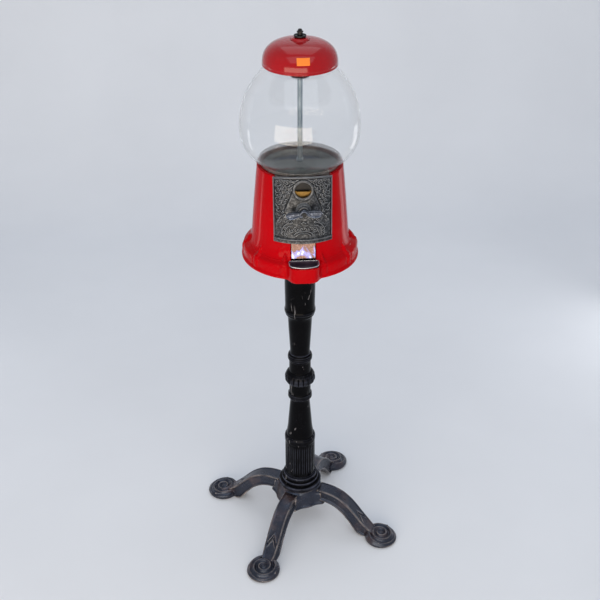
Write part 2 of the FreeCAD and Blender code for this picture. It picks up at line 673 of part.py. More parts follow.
def make_ratchet():
    root = RATCHET_RADIUS - 2.4
    points = []
    for i in range(RATCHET_TEETH):
        angle = 2 * math.pi * i / RATCHET_TEETH
        for radius in (RATCHET_RADIUS, root):
            points.append(V(radius * math.sin(angle), RATCHET_FRONT, SHAFT_Z + radius * math.cos(angle)))
    wheel = Part.Face(Part.makePolygon(points + [points[0]])).extrude(V(0, 3, 0))
    return wheel.cut(disc_y(SHAFT_RADIUS + SNUG, -70, -50))


def make_pawl():
    """Short lever whose nose lies beside the ratchet, just clear of its tips."""
    px, pz = PAWL_PIVOT
    nose_radius = RATCHET_RADIUS + PAWL_NOSE_GAP
    angle = math.radians(PAWL_NOSE_ANGLE)
    nose = V(nose_radius * math.cos(angle), PAWL_FRONT, SHAFT_Z + nose_radius * math.sin(angle))
    base = V(px, PAWL_FRONT, pz)
    along = (nose - base).normalize()
    side = V(-along.z, 0, along.x)
    corners = [base + side * 3.2, nose + side * 1.0, nose - side * 1.4, base - side * 3.2]
    arm = Part.Face(Part.makePolygon(corners + [corners[0]])).extrude(V(0, 2, 0))
    lever = arm.fuse(disc_y(3.8, PAWL_FRONT, PAWL_FRONT + 2, px, pz))
    return lever.cut(disc_y(PAWL_PIN_RADIUS + RUNNING, -70, -60, px, pz))


def make_pawl_pin():
    px, pz = PAWL_PIVOT
    pin = disc_y(PAWL_PIN_RADIUS, PAWL_FRONT - 6, PAWL_FRONT + 2.4, px, pz)
    return pin.fuse(disc_y(2.4, PAWL_FRONT + 2.4, PAWL_FRONT + 3.1, px, pz))


def make_pawl_spring():
    """Torsion spring on the pawl's pin, close-wound, with one straight arm."""
    px, pz = PAWL_PIVOT
    coil = disc_y(2.5, -66.7, -65.2, px, pz).cut(disc_y(1.7, -68, -64, px, pz))
    arm = Part.makeCylinder(0.3, 9, V(px - 2.1, -65.6, pz), Z_AXIS)
    return coil.fuse(arm)


def make_pinion():
    """Small gear on the shaft's rear end, made as a hub with straight teeth."""
    hub = disc_y(PINION_PITCH - TOOTH_HEIGHT - 0.5, -MESH_OUTER, -MESH_INNER)
    tooth = block(-TOOTH_THICKNESS / 2, TOOTH_THICKNESS / 2, -MESH_OUTER, -MESH_INNER, SHAFT_Z + 5,
                  SHAFT_Z + PINION_PITCH + TOOTH_HEIGHT)
    teeth = []
    for i in range(PINION_TEETH):
        copy = tooth.copy()
        copy.rotate(V(0, 0, SHAFT_Z), Y_AXIS, 360.0 * i / PINION_TEETH)
        teeth.append(copy)
    return hub.fuse(teeth).cut(disc_y(SHAFT_RADIUS + SNUG, -60, -30))


def make_wheel():
    """Flat wheel with through pockets, and a ring of face teeth under its edge."""
    mesh_height = SHAFT_Z + PINION_PITCH
    wheel = disc(WHEEL_RADIUS, WHEEL_BOTTOM, WHEEL_TOP)
    recess = tube(MESH_OUTER + 1.2, MESH_INNER - 1.2, WHEEL_BOTTOM - 1, mesh_height + TOOTH_HEIGHT + 1.0)
    pockets = around(disc(POCKET_RADIUS, 690, 740, 0, -POCKET_CIRCLE), POCKET_COUNT)
    wheel = wheel.cut([recess, disc(HUB_SLEEVE + RUNNING, 690, 740)] + pockets)
    half = TOOTH_THICKNESS / 2
    tooth = block(-half, half, -MESH_OUTER - 1.4, -MESH_INNER + 1.4, mesh_height - TOOTH_HEIGHT + 1.3,
                  mesh_height + TOOTH_HEIGHT + 1.1)
    teeth = around(tooth, WHEEL_TEETH, 180.0 / WHEEL_TEETH)
    return wheel.fuse(teeth)


def make_chute():
    """Folded sheet duct that turns forward under the drop hole and ends just behind the door."""
    def duct(half_width, margin, front):
        outline = [(-12 + margin, CHUTE_TOP), (-12 + margin, 638 - margin)] + front + [
            (-50 - margin, 642 + margin), (-39 - margin, 661), (-39 - margin, CHUTE_TOP)]
        points = [V(-half_width, y, z) for y, z in outline]
        return Part.Face(Part.makePolygon(points + [points[0]])).extrude(V(2 * half_width, 0, 0))

    inner = duct(CHUTE_HALF_WIDTH, 0.0, [(-79, 611.8), (-79, 631.9)])
    outer = duct(CHUTE_HALF_WIDTH + SHEET, SHEET, [(-76.6, 611.6), (-69.5, 636.4)])
    crown = block(-CHUTE_HALF_WIDTH, CHUTE_HALF_WIDTH, -39, -12, CHUTE_TOP - 0.4, CHUTE_TOP + 1.6)
    return outer.cut([inner, crown])


def make_flap():
    """Door that hangs from a barrel and leans out to the line of the body's wall."""
    half = FLAP_WIDTH / 2
    back = FLAP_AXIS_Y + FLAP_THICKNESS / 2
    door = block(-half, half, back - FLAP_THICKNESS, back, FLAP_AXIS_Z - FLAP_LENGTH, FLAP_AXIS_Z)
    door.rotate(V(0, FLAP_AXIS_Y, FLAP_AXIS_Z), X_AXIS, -FLAP_TILT)
    return door.fuse(flap_rod(FLAP_BARREL, half)).cut(flap_rod(FLAP_PIN + RUNNING, half + 5))


def make_cup():
    half = CUP_WIDTH / 2
    cup = tray_block(half, CUP_ARC_RADIUS, CUP_BACK, CUP_FLOOR - CUP_WALL, CUP_RIM_TOP)
    rim = tray_block(CUP_RIM_WIDTH / 2, CUP_RIM_ARC_RADIUS, CUP_BACK, BULGE_TOP + 0.1, CUP_RIM_TOP)
    hollow = tray_block(half - CUP_WALL, CUP_ARC_RADIUS - CUP_WALL, CUP_BACK - CUP_WALL, CUP_FLOOR, 620)
    upright = [e for e in hollow.Edges if abs(e.tangentAt(e.FirstParameter).z) > 0.9]
    return cup.fuse(rim).cut(hollow.makeFillet(4.0, upright))


# ---- build everything -----------------------------------------------------------------

leg = make_leg()
for number, leg_name in enumerate(LEG_NAMES):
    save(spun(leg, FIRST_LEG_ANGLE + 90.0 * number), leg_name)
save(make_hub(), "base_hub")
save(group(around(make_leg_bolt(), LEG_COUNT, FIRST_LEG_ANGLE)), "leg_bolts")
save(make_base_ring(), "base_ring")
save(make_lower_column(), "lower_column")
save(make_knop(), "middle_knop")
save(make_upper_column(), "upper_column")
save(make_top_plate(), "top_plate")
save(disc(TIE_ROD_RADIUS, 47, STAND_TOP - 3), "tie_rod")
save(tube(13, TIE_ROD_RADIUS + 0.3, 58, 60), "tie_rod_washer")
save(nut(15, TIE_ROD_RADIUS + SNUG, 50, 58), "tie_rod_nut")
save(group(around(make_mount_screw(), 3, 90)), "mount_screws")

save(make_body(), "body_shell")
save(make_bottom_plate(), "bottom_plate")
save(group(around(make_bottom_screw(), 4, 45)), "bottom_plate_screws")
save(make_cup(), "tray_cup")
save(make_chute(), "chute")
save(make_flap(), "chute_flap")
save(flap_rod(FLAP_PIN, FLAP_PIN_HALF), "flap_hinge_pin")

save(make_plate(), "front_plate")
save(make_mech_frame(), "mech_frame")
save(group(make_frame_screws()), "mech_frame_screws")
save(make_coin_seat(), "coin_seat")
save(make_coin_gauge(), "coin_gauge")
save(make_shaft(), "handle_shaft")
save(make_handle(), "handle")
save(make_handle_screw(), "handle_screw")
save(make_coin_wheel(), "coin_wheel")
save(make_ratchet(), "ratchet_wheel")
save(make_pawl(), "pawl")
save(make_pawl_pin(), "pawl_pin")
save(make_pawl_spring(), "pawl_spring")
save(make_pinion(), "drive_pinion")
save(make_wheel(), "dispensing_wheel")

save(make_hopper(), "hopper")
save(make_platform(), "hopper_platform")
save(make_gasket(), "globe_gasket")
save(make_globe(), "globe")
save(make_tube_nut(), "tube_nut")
save(make_center_tube(), "center_tube")
save(make_tube_washer(), "tube_washer")
save(make_center_rod(), "center_rod")
save(nut(11, ROD_RADIUS + SNUG, STAND_TOP + 11, STAND_TOP + 16), "rod_locknut")
save(make_lid(), "lid")
save(make_sticker(), "price_sticker")
save(make_lid_washer(), "lid_washer")
save(make_lid_nut(), "lid_nut")
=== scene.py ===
import json
import math
import random

import bmesh
import bpy
import numpy as np
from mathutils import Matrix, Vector


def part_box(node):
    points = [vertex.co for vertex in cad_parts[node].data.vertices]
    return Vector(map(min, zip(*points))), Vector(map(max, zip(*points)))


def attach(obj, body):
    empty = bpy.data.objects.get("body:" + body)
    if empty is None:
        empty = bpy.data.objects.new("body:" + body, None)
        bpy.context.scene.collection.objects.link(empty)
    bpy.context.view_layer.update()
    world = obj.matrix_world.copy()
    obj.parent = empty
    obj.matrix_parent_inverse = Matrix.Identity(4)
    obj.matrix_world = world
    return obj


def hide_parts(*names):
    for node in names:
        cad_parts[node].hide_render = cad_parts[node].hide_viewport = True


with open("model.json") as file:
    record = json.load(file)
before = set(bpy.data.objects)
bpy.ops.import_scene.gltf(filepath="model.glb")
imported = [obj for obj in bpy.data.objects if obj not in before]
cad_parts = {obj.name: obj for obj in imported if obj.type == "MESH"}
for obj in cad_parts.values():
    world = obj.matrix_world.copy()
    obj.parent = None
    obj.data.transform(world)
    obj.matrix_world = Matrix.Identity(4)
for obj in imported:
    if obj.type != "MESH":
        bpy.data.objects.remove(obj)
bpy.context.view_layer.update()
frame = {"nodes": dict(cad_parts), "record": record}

# Everything below is worked out in millimetres and divided by 1000 when a mesh is made.
MM = 0.001
TAU = 2 * math.pi

# ---- sizes and places taken from the frame ------------------------------------------


def low(node):
    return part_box(node)[0] / MM


def high(node):
    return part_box(node)[1] / MM


HUB_TOP = high("base_hub").z
HUB_BOTTOM = low("base_hub").z
HUB_RADIUS = high("base_hub").x
RING_TOP = high("base_ring").z
RING_RADIUS = high("base_ring").x
KNOP_BOTTOM = low("middle_knop").z
KNOP_TOP = high("middle_knop").z
GEAR_RADIUS = high("middle_knop").x
COLUMN_TOP = high("upper_column").z
COLLAR_RADIUS = high("upper_column").x
BODY_BOTTOM = low("body_shell").z
BODY_TOP = high("body_shell").z
BULGE_FRONT = low("body_shell").y
PLATE_BOTTOM = low("front_plate").z
PLATE_TOP = high("front_plate").z
PLATE_HALF = high("front_plate").x
PLATE_SHOULDER = high("body_shell").z - 1.2
SHAFT_Z = (low("handle_shaft").z + high("handle_shaft").z) / 2
WINDOW_Z = SHAFT_Z + 30.5
WINDOW_RADIUS = 13.0
PLATE_GAP = 0.1
PLATE_THICKNESS = 1.7
ROD_BORE = 3.4
THREAD_START = 925.0
THREAD_PITCH = 1.27
HANDLE_FRONT = low("handle").y
GLOBE_BOTTOM = low("globe").z
GLOBE_TOP = high("globe").z
PLATFORM_TOP = high("hopper_platform").z
PLATFORM_RADIUS = high("hopper_platform").x
TUBE_BOTTOM = low("center_tube").z
TUBE_TOP = high("center_tube").z
TUBE_RADIUS = high("center_tube").x
ROD_TOP = high("center_rod").z
ROD_RADIUS = high("center_rod").x
LID_RADIUS = high("lid").x
LID_BOTTOM = low("lid").z
LID_TOP = high("lid").z
NUT_LOW = low("lid_nut").z
NUT_HIGH = high("lid_nut").z
LEG_NAMES = ["leg_rear_right", "leg_rear_left", "leg_front_left", "leg_front_right"]
FOOT_RADIUS = 30.0
LEG_VOXEL = 0.8
HANDLE_VOXEL = 0.32
LEG_REACH = math.hypot(high("leg_rear_right").x - FOOT_RADIUS, high("leg_rear_right").y - FOOT_RADIUS)
LEG_ANGLE = math.atan2(high("leg_rear_right").y - FOOT_RADIUS, high("leg_rear_right").x - FOOT_RADIUS)

# ---- mesh helpers -------------------------------------------------------------------


def rounded(points, radius=0.6, steps=4):
    """Outline with its inner corners rounded. A point may carry its own radius as a third number."""
    out = [points[0][:2]]
    for before, corner, after in zip(points, points[1:], points[2:]):
        size = corner[2] if len(corner) > 2 else radius
        a = np.array(before[:2], float) - corner[:2]
        b = np.array(after[:2], float) - corner[:2]
        la = np.linalg.norm(a)
        lb = np.linalg.norm(b)
        cut = min(size, la * 0.48, lb * 0.48)
        start = corner[:2] + a / la * cut
        end = corner[:2] + b / lb * cut
        for i in range(steps + 1):
            t = i / steps
            out.append(tuple((1 - t) ** 2 * start + 2 * t * (1 - t) * np.array(corner[:2]) + t * t * end))
    out.append(points[-1][:2])
    return out


def smooth(points, steps=6):
    """Catmull-Rom curve through points of any dimension."""
    p = np.array(points, float)
    p = np.vstack([2 * p[0] - p[1], p, 2 * p[-1] - p[-2]])
    out = []
    for i in range(1, len(p) - 2):
        a, b, c, d = p[i - 1], p[i], p[i + 1], p[i + 2]
        for k in range(steps):
            t = k / steps
            out.append(0.5 * (2 * b + (c - a) * t + (2 * a - 5 * b + 4 * c - d) * t * t
                              + (3 * b - a - 3 * c + d) * t ** 3))
    out.append(p[-2])
    return [tuple(v) for v in out]


def offset(points, distance):
    """Curve of (radius, height) points moved sideways, to the left of its direction."""
    p = np.array(points, float)
    along = np.gradient(p, axis=0)
    along /= np.linalg.norm(along, axis=1)[:, None]
    return [tuple(q) for q in p + np.column_stack([-along[:, 1], along[:, 0]]) * distance]


def ring_faces(rings, sides, closed=False):
    """Quads between closed rings of points. With closed, the last ring joins the first."""
    i = np.arange(rings if closed else rings - 1)
    ii, jj = np.meshgrid(i, np.arange(sides), indexing="ij")
    i1 = (ii + 1) % rings
    j1 = (jj + 1) % sides
    quads = np.stack([ii * sides + jj, ii * sides + j1, i1 * sides + j1, i1 * sides + jj], axis=-1)
    return [tuple(q) for q in quads.reshape(-1, 4)]


def loft(rings):
    """Closed skin through rings of points, with a flat face over the first and over the last."""
    co = np.array(rings, float)
    count, sides = co.shape[:2]
    faces = ring_faces(count, sides)
    faces.append(tuple(range(sides - 1, -1, -1)))
    faces.append(tuple(range((count - 1) * sides, count * sides)))
    return co.reshape(-1, 3), faces


def lathe(profile, segments, closed=False, relief=None):
    """(points, faces) of a surface of revolution about Z from (radius, height) points."""
    p = np.array([q[:2] for q in profile], float)
    angles = np.arange(segments) * TAU / segments
    r = np.repeat(p[:, :1], segments, axis=1)
    z = np.repeat(p[:, 1:], segments, axis=1)
    if relief is not None:
        r = r + relief(r, z, angles[None, :])
    co = np.stack([r * np.cos(angles), r * np.sin(angles), z], axis=-1).reshape(-1, 3)
    return co, ring_faces(len(p), segments, closed)


def facing_front(part, x, y, z):
    """A part made about Z, laid over so that its +Z points to -Y, then moved."""
    co, faces = part
    return np.column_stack([co[:, 0] + x, -co[:, 2] + y, co[:, 1] + z]), faces


def slab(front, back, keep=None):
    """Closed sheet between two grids of points, with cells left out where keep is False."""
    rows, cols = front.shape[:2]
    if keep is None:
        keep = np.ones((rows - 1, cols - 1), bool)
    count = rows * cols
    faces = []
    kept = np.zeros((rows + 1, cols + 1), bool)
    kept[1:rows, 1:cols] = keep
    for i in range(rows - 1):
        for j in range(cols - 1):
            if not keep[i, j]:
                continue
            a = i * cols + j
            b, c, d = a + 1, a + cols + 1, a + cols
            faces.append((a, b, c, d))
            faces.append((d + count, c + count, b + count, a + count))
            if not kept[i, j + 1]:
                faces.append((b, a, a + count, b + count))
            if not kept[i + 2, j + 1]:
                faces.append((d, c, c + count, d + count))
            if not kept[i + 1, j]:
                faces.append((a, d, d + count, a + count))
            if not kept[i + 1, j + 2]:
                faces.append((c, b, b + count, c + count))
    return np.concatenate([front.reshape(-1, 3), back.reshape(-1, 3)]), faces


def sheet(rows, cols, place):
    """Slab whose (front point, back point) is given by place(row, column)."""
    points = np.array([[place(i, j) for j in range(cols)] for i in range(rows)])
    return slab(points[:, :, 0], points[:, :, 1])


def pipe(path, radii, sides=10):
    """Round bar along a path of points, closed at both ends."""
    p = np.array(path, float)
    along = np.gradient(p, axis=0)
    along /= np.linalg.norm(along, axis=1)[:, None]
    up = np.array([0.0, 0.0, 1.0]) if abs(along[0][2]) < 0.9 else np.array([1.0, 0.0, 0.0])
    rings = []
    for point, t, radius in zip(p, along, np.broadcast_to(radii, len(p))):
        u = np.cross(up, t)
        u /= np.linalg.norm(u)
        up = np.cross(t, u)
        a = np.arange(sides) * TAU / sides
        rings.append(point + radius * (np.outer(np.cos(a), u) + np.outer(np.sin(a), up)))
    co = np.concatenate(rings + [p[:1], p[-1:]])
    faces = ring_faces(len(p), sides)
    n = len(p) * sides
    for k in range(sides):
        faces.append((n, (k + 1) % sides, k))
        faces.append((n + 1, n - sides + k, n - sides + (k + 1) % sides))
    return co, faces


def block(x0, x1, y0, y1, z0, z1):
    co = np.array([(x, y, z) for z in (z0, z1) for y in (y0, y1) for x in (x0, x1)], float)
    return co, [(0, 2, 3, 1), (4, 5, 7, 6), (0, 1, 5, 4), (2, 6, 7, 3), (0, 4, 6, 2), (1, 3, 7, 5)]


def prism(outline, z0, z1, chamfer=0.0):
    """Upright bar with a convex outline of (x, y) points and chamfered ends."""
    p = np.array(outline, float)
    middle = p.mean(0)
    inner = middle + (p - middle) * (1 - chamfer / np.linalg.norm(p - middle, axis=1).max())
    rings = [(inner, z0), (p, z0 + chamfer), (p, z1 - chamfer), (inner, z1)]
    return loft([np.column_stack([q, np.full(len(p), z)]) for q, z in rings])


def hexagon(radius):
    return [(radius * math.cos(TAU * k / 6), radius * math.sin(TAU * k / 6)) for k in range(6)]


def new_object(name, data):
    obj = bpy.data.objects.new(name, data)
    bpy.context.scene.collection.objects.link(obj)
    return obj


def shade_smooth(mesh):
    mesh.polygons.foreach_set("use_smooth", [True] * len(mesh.polygons))


def set_material(mesh, material):
    mesh.materials.clear()
    mesh.materials.append(material)


def piece(name, parts, body, slot, nodes=(), sharp=32, look=None):
    """One object from several (points, faces) parts, riding on a body and replacing CAD nodes.

    It wears the material of its slot, or the one named by look. Edges sharper than sharp degrees stay crisp.
    """
    points = []
    faces = []
    count = 0
    for co, fs in parts:
        points.append(np.asarray(co, float))
        faces += [tuple(int(k) + count for k in f) for f in fs]
        count += len(co)
    mesh = bpy.data.meshes.new(name)
    mesh.from_pydata((np.concatenate(points) * MM).tolist(), [], faces)
    bm = bmesh.new()
    bm.from_mesh(mesh)
    bmesh.ops.remove_doubles(bm, verts=bm.verts, dist=1e-6)
    bmesh.ops.recalc_face_normals(bm, faces=bm.faces)
    bm.to_mesh(mesh)
    bm.free()
    mesh.validate()
    shade_smooth(mesh)
    mesh.set_sharp_from_angle(angle=math.radians(sharp))
    obj = new_object(name, mesh)
    mesh.materials.append(MATERIALS[look or slot])
    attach(obj, body)
    if nodes:
        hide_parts(*nodes)
    return obj


def turning(name, side, corner, sides, slot, node=None, body="frame", steps=4, relief=None, look=None):
    """Piece turned about Z from an outline that gets its corners rounded."""
    part = lathe(rounded(side, corner, steps), sides, True, relief)
    piece(name, [part], body, slot, [node] if node else (), look=look)


def fuse(obj, voxel):
    """Joins the parts of a piece into one slightly softened cast skin."""
    remesh = obj.modifiers.new("cast", "REMESH")
    remesh.mode = "VOXEL"
    remesh.voxel_size = voxel * MM
    soften = obj.modifiers.new("soften", "SMOOTH")
    soften.factor = 0.5
    soften.iterations = 2
    depsgraph = bpy.context.evaluated_depsgraph_get()
    mesh = bpy.data.meshes.new_from_object(obj.evaluated_get(depsgraph))
    obj.modifiers.clear()
    material = obj.data.materials[0]
    obj.data = mesh
    set_material(mesh, material)
    shade_smooth(mesh)


# ---- materials ----------------------------------------------------------------------


class Nodes:
    """Short way to build a node material."""

    def __init__(self, name):
        self.material = bpy.data.materials.new(name)
        self.material.use_nodes = True
        self.tree = self.material.node_tree
        self.shader = self.tree.nodes["Principled BSDF"]
        self.place = self.add("ShaderNodeTexCoord").outputs["Object"]

    def add(self, kind, **inputs):
        node = self.tree.nodes.new(kind)
        for key, value in inputs.items():
            if key in node.inputs:
                node.inputs[key].default_value = value
            else:
                setattr(node, key, value)
        return node

    def link(self, output, target):
        self.tree.links.new(output, target)

    def feed(self, socket, value):
        """Links an output to a socket, or sets a constant there. A colour is a tuple of three numbers."""
        if isinstance(value, bpy.types.NodeSocket):
            self.link(value, socket)
        elif isinstance(value, tuple):
            socket.default_value = (*value, 1)
        else:
            socket.default_value = value

    def noise(self, scale, detail=4.0, rough=0.55, stretch=(1, 1, 1), distort=0.0):
        mapping = self.add("ShaderNodeMapping")
        mapping.inputs["Scale"].default_value = stretch
        self.link(self.place, mapping.inputs["Vector"])
        node = self.add("ShaderNodeTexNoise", Scale=scale, Detail=detail, Roughness=rough, Distortion=distort)
        self.link(mapping.outputs["Vector"], node.inputs["Vector"])
        return node.outputs["Fac"]

    def ramp(self, value, stops):
        """Colour or grey along a value. A stop is (position, colour or grey)."""
        node = self.add("ShaderNodeValToRGB")
        while len(node.color_ramp.elements) < len(stops):
            node.color_ramp.elements.new(0.5)
        for element, (position, colour) in zip(node.color_ramp.elements, stops):
            element.position = position
            element.color = (colour, colour, colour, 1) if isinstance(colour, float) else (*colour, 1)
        self.link(value, node.inputs["Fac"])
        return node.outputs["Color"]

    def mix(self, factor, a, b):
        node = self.add("ShaderNodeMix", data_type="RGBA")
        for socket, value in (("Factor", factor), ("A", a), ("B", b)):
            self.feed(node.inputs[socket], value)
        return node.outputs["Result"]

    def times(self, a, b):
        node = self.add("ShaderNodeMath", operation="MULTIPLY")
        self.feed(node.inputs[0], a)
        self.feed(node.inputs[1], b)
        return node.outputs["Value"]

    def edges(self, low_point, high_point):
        """1 on convex edges and ridges, 0 elsewhere."""
        pointy = self.add("ShaderNodeNewGeometry").outputs["Pointiness"]
        return self.ramp(pointy, [(low_point, 0.0), (high_point, 1.0)])

    def bump(self, height, strength, distance=0.0005):
        node = self.add("ShaderNodeBump", Strength=strength, Distance=distance)
        self.link(height, node.inputs["Height"])
        self.link(node.outputs["Normal"], self.shader.inputs["Normal"])

    def set(self, **values):
        for key, value in values.items():
            self.feed(self.shader.inputs[key.replace("_", " ")], value)


def red_enamel(name, depth, gloss, coat):
    n = Nodes(name)
    cloud = n.noise(9, 3)
    base = n.ramp(cloud, [(0.3, (0.82 * depth, 0.0003, 0.002)), (0.7, (depth, 0.0005, 0.004))])
    dust = n.ramp(n.noise(60, 6, 0.65), [(0.56, 0.0), (0.72, 1.0)])
    base = n.mix(n.times(dust, 0.012), base, (0.62, 0.35, 0.33))
    worn = n.edges(0.56, 0.60)
    patches = n.ramp(n.noise(38, 5, 0.7), [(0.57, 0.0), (0.61, 1.0)])
    chip = n.times(worn, patches)
    n.set(Base_Color=n.mix(chip, base, (0.66, 0.62, 0.60)))
    smear = n.ramp(n.noise(24, 5, 0.6, (1, 1, 0.3)), [(0.35, 0.08), (0.75, 0.20)])
    n.set(Roughness=n.mix(chip, smear, (0.6, 0.6, 0.6)))
    n.set(Specular_IOR_Level=gloss, Coat_Weight=coat, Coat_Roughness=0.06)
    n.bump(n.noise(180, 3), 0.04)
    return n.material


def black_enamel(name):
    n = Nodes(name)
    cloud = n.noise(14, 4)
    base = n.ramp(cloud, [(0.35, (0.0010, 0.0010, 0.0015)), (0.75, (0.0022, 0.0021, 0.0030))])
    scratch = n.ramp(n.noise(85, 2, 0.4, (1, 1, 0.22), 1.8), [(0.665, 0.0), (0.685, 1.0)])
    rub = n.ramp(n.noise(17, 3), [(0.49, 0.0), (0.57, 1.0)])
    mark = n.times(scratch, rub)
    # lighter bluish edges: partly worn paint, partly a painted highlight of reflected sky
    worn = n.times(n.edges(0.506, 0.535), n.ramp(n.noise(55, 5), [(0.38, 0.25), (0.58, 1.0)]))
    base = n.mix(n.times(mark, 0.6), base, (0.22, 0.21, 0.22))
    n.set(Base_Color=n.mix(n.times(worn, 0.7), base, (0.11, 0.12, 0.17)))
    n.set(Roughness=n.ramp(n.noise(30, 5), [(0.3, 0.06), (0.8, 0.15)]), Specular_IOR_Level=0.06)
    n.bump(n.noise(90, 4), 0.10)
    return n.material


def cast_iron(name):
    n = Nodes(name)
    cloud = n.noise(22, 6, 0.65)
    base = n.ramp(cloud, [(0.32, (0.003, 0.003, 0.006)), (0.52, (0.009, 0.007, 0.010)),
                          (0.70, (0.066, 0.040, 0.034))])
    worn = n.times(n.edges(0.515, 0.55), n.ramp(n.noise(70, 5), [(0.35, 0.25), (0.60, 1.0)]))
    base = n.mix(n.times(worn, 0.9), base, (0.36, 0.30, 0.26))
    speck = n.ramp(n.noise(330, 3, 0.5), [(0.66, 0.0), (0.72, 1.0)])
    n.set(Base_Color=n.mix(n.times(speck, 0.35), base, (0.24, 0.21, 0.19)))
    n.set(Roughness=n.ramp(n.noise(36, 5), [(0.35, 0.20), (0.70, 0.48)]), Specular_IOR_Level=0.75)
    n.set(Specular_Tint=(0.62, 0.74, 1.0))
    n.bump(n.mix(0.5, n.noise(260, 5, 0.7), n.noise(60, 3)), 0.40, 0.0006)
    return n.material


def pewter(name, shade, painted_recess_shade, tip, low_stop, high_stop):
    """Cast metal: painted shade in recesses, painted highlights on worn ridges, glint flecks, random dark
    patches.
    """
    n = Nodes(name)
    # ridges lightened to the tip colour: partly rubbed metal, partly a painted highlight
    ridge_wear_and_highlight = n.edges(0.505, high_stop)
    # painted shade: low pointiness marks the hollows, which take a near-black recess colour
    recess_shade_mask = n.ramp(n.add("ShaderNodeNewGeometry").outputs["Pointiness"], [(0.45, 1.0), (low_stop, 0.0)])
    dark = tuple(0.62 * c for c in shade)
    cloud = n.ramp(n.noise(40, 5, 0.6), [(0.3, dark), (0.75, shade)])
    # painted glints: fine flecks pulled toward the tip colour
    glint_flecks = n.ramp(n.noise(330, 2, 0.5), [(0.46, 0.0), (0.62, 1.0)])
    base = n.mix(n.times(glint_flecks, 0.22), cloud, tip)
    # random darker patches laid by noise
    dark_patches = n.ramp(n.noise(150, 4, 0.6), [(0.50, 0.0), (0.60, 0.75)])
    base = n.mix(dark_patches, base, tuple(0.35 * c for c in shade))
    # painted shade laid into the recesses
    base = n.mix(n.times(recess_shade_mask, 0.96), base, painted_recess_shade)
    # painted highlight on the worn ridges, in the tip colour
    n.set(Base_Color=n.mix(n.times(ridge_wear_and_highlight, 0.85), base, tip))
    n.set(Roughness=n.ramp(n.noise(120, 5), [(0.3, 0.28), (0.8, 0.46)]), Metallic=0.6)
    n.bump(n.noise(420, 4, 0.6), 0.22, 0.0003)
    return n.material


def brushed(name, dark, light, rough=(0.22, 0.40), metallic=1.0, stretch=(1, 1, 0.1), bump=0.10):
    """Plain metal with fine streaks and slight stains."""
    n = Nodes(name)
    streak = n.noise(600, 3, 0.5, stretch)
    stain = n.noise(60, 5, 0.6)
    base = n.mix(n.ramp(stain, [(0.35, 0.0), (0.75, 1.0)]), dark, light)
    n.set(Base_Color=n.mix(0.25, base, n.ramp(streak, [(0.3, dark), (0.7, light)])))
    n.set(Roughness=n.ramp(stain, [(0.3, rough[0]), (0.8, rough[1])]), Metallic=metallic)
    n.bump(streak, bump, 0.0002)
    return n.material


def chrome(name):
    """Plated chute door with painted reflections: tan-pink for the red body, blue for the sky, white
    highlights.
    """
    n = Nodes(name)
    reflection_patches = n.noise(66, 3, 0.5, (1, 1, 0.7), 1.2)
    # painted reflection: the tan-pink tone stands in for the red body reflected in the plating
    red_reflection_tone = n.ramp(n.noise(420, 4, 0.6), [(0.35, (0.11, 0.062, 0.052)), (0.65, (0.20, 0.125, 0.110))])
    # painted reflections: blue patches for the sky, white patches for highlights
    sky_reflection_mask = n.ramp(reflection_patches, [(0.50, 0.0), (0.58, 1.0)])
    highlight_mask = n.ramp(reflection_patches, [(0.62, 0.0), (0.67, 1.0)])
    tint = n.mix(sky_reflection_mask, red_reflection_tone, (0.20, 0.21, 0.52))
    n.set(Base_Color=n.mix(highlight_mask, tint, (0.55, 0.55, 0.66)), Metallic=0.75)
    n.set(Roughness=n.ramp(n.noise(240, 4), [(0.4, 0.22), (0.8, 0.38)]))
    n.bump(n.noise(140, 2), 0.25, 0.0006)
    return n.material


def plastic(name, dark, light, rough, scale, gloss=0.35, alpha=1.0):
    """Plain mottled stuff, for plastic, rubber, dull casting and rust."""
    n = Nodes(name)
    cloud = n.noise(scale, 5, 0.6)
    n.set(Base_Color=n.ramp(cloud, [(0.3, dark), (0.75, light)]), Specular_IOR_Level=gloss, Alpha=alpha)
    n.set(Roughness=n.ramp(n.noise(scale * 3, 4), [(0.3, rough[0]), (0.8, rough[1])]))
    n.bump(n.noise(scale * 9, 4), 0.12, 0.0003)
    return n.material


def glass(name):
    """Clear thin glass: the coat gives the reflections, and the view through it is hardly bent."""
    n = Nodes(name)
    haze = n.ramp(n.noise(26, 5, 0.6), [(0.55, 0.0), (0.9, 0.03)])
    facing = n.add("ShaderNodeLayerWeight").outputs["Facing"]
    tint = n.mix(n.ramp(facing, [(0.45, 0.0), (0.95, 1.0)]), (0.985, 0.992, 0.99), (0.84, 0.825, 0.79))
    n.set(Base_Color=tint, Roughness=haze, IOR=1.02, Transmission_Weight=1.0, Alpha=0.5)
    n.set(Coat_Weight=1.0, Coat_IOR=1.7, Coat_Roughness=haze)
    return n.material


def paper(name):
    n = Nodes(name)
    fibre = n.noise(900, 4, 0.7)
    n.set(Base_Color=n.ramp(fibre, [(0.3, (0.86, 0.16, 0.008)), (0.7, (0.98, 0.27, 0.02))]))
    n.set(Roughness=n.ramp(fibre, [(0.3, 0.55), (0.7, 0.75)]))
    n.bump(fibre, 0.15, 0.0002)
    return n.material


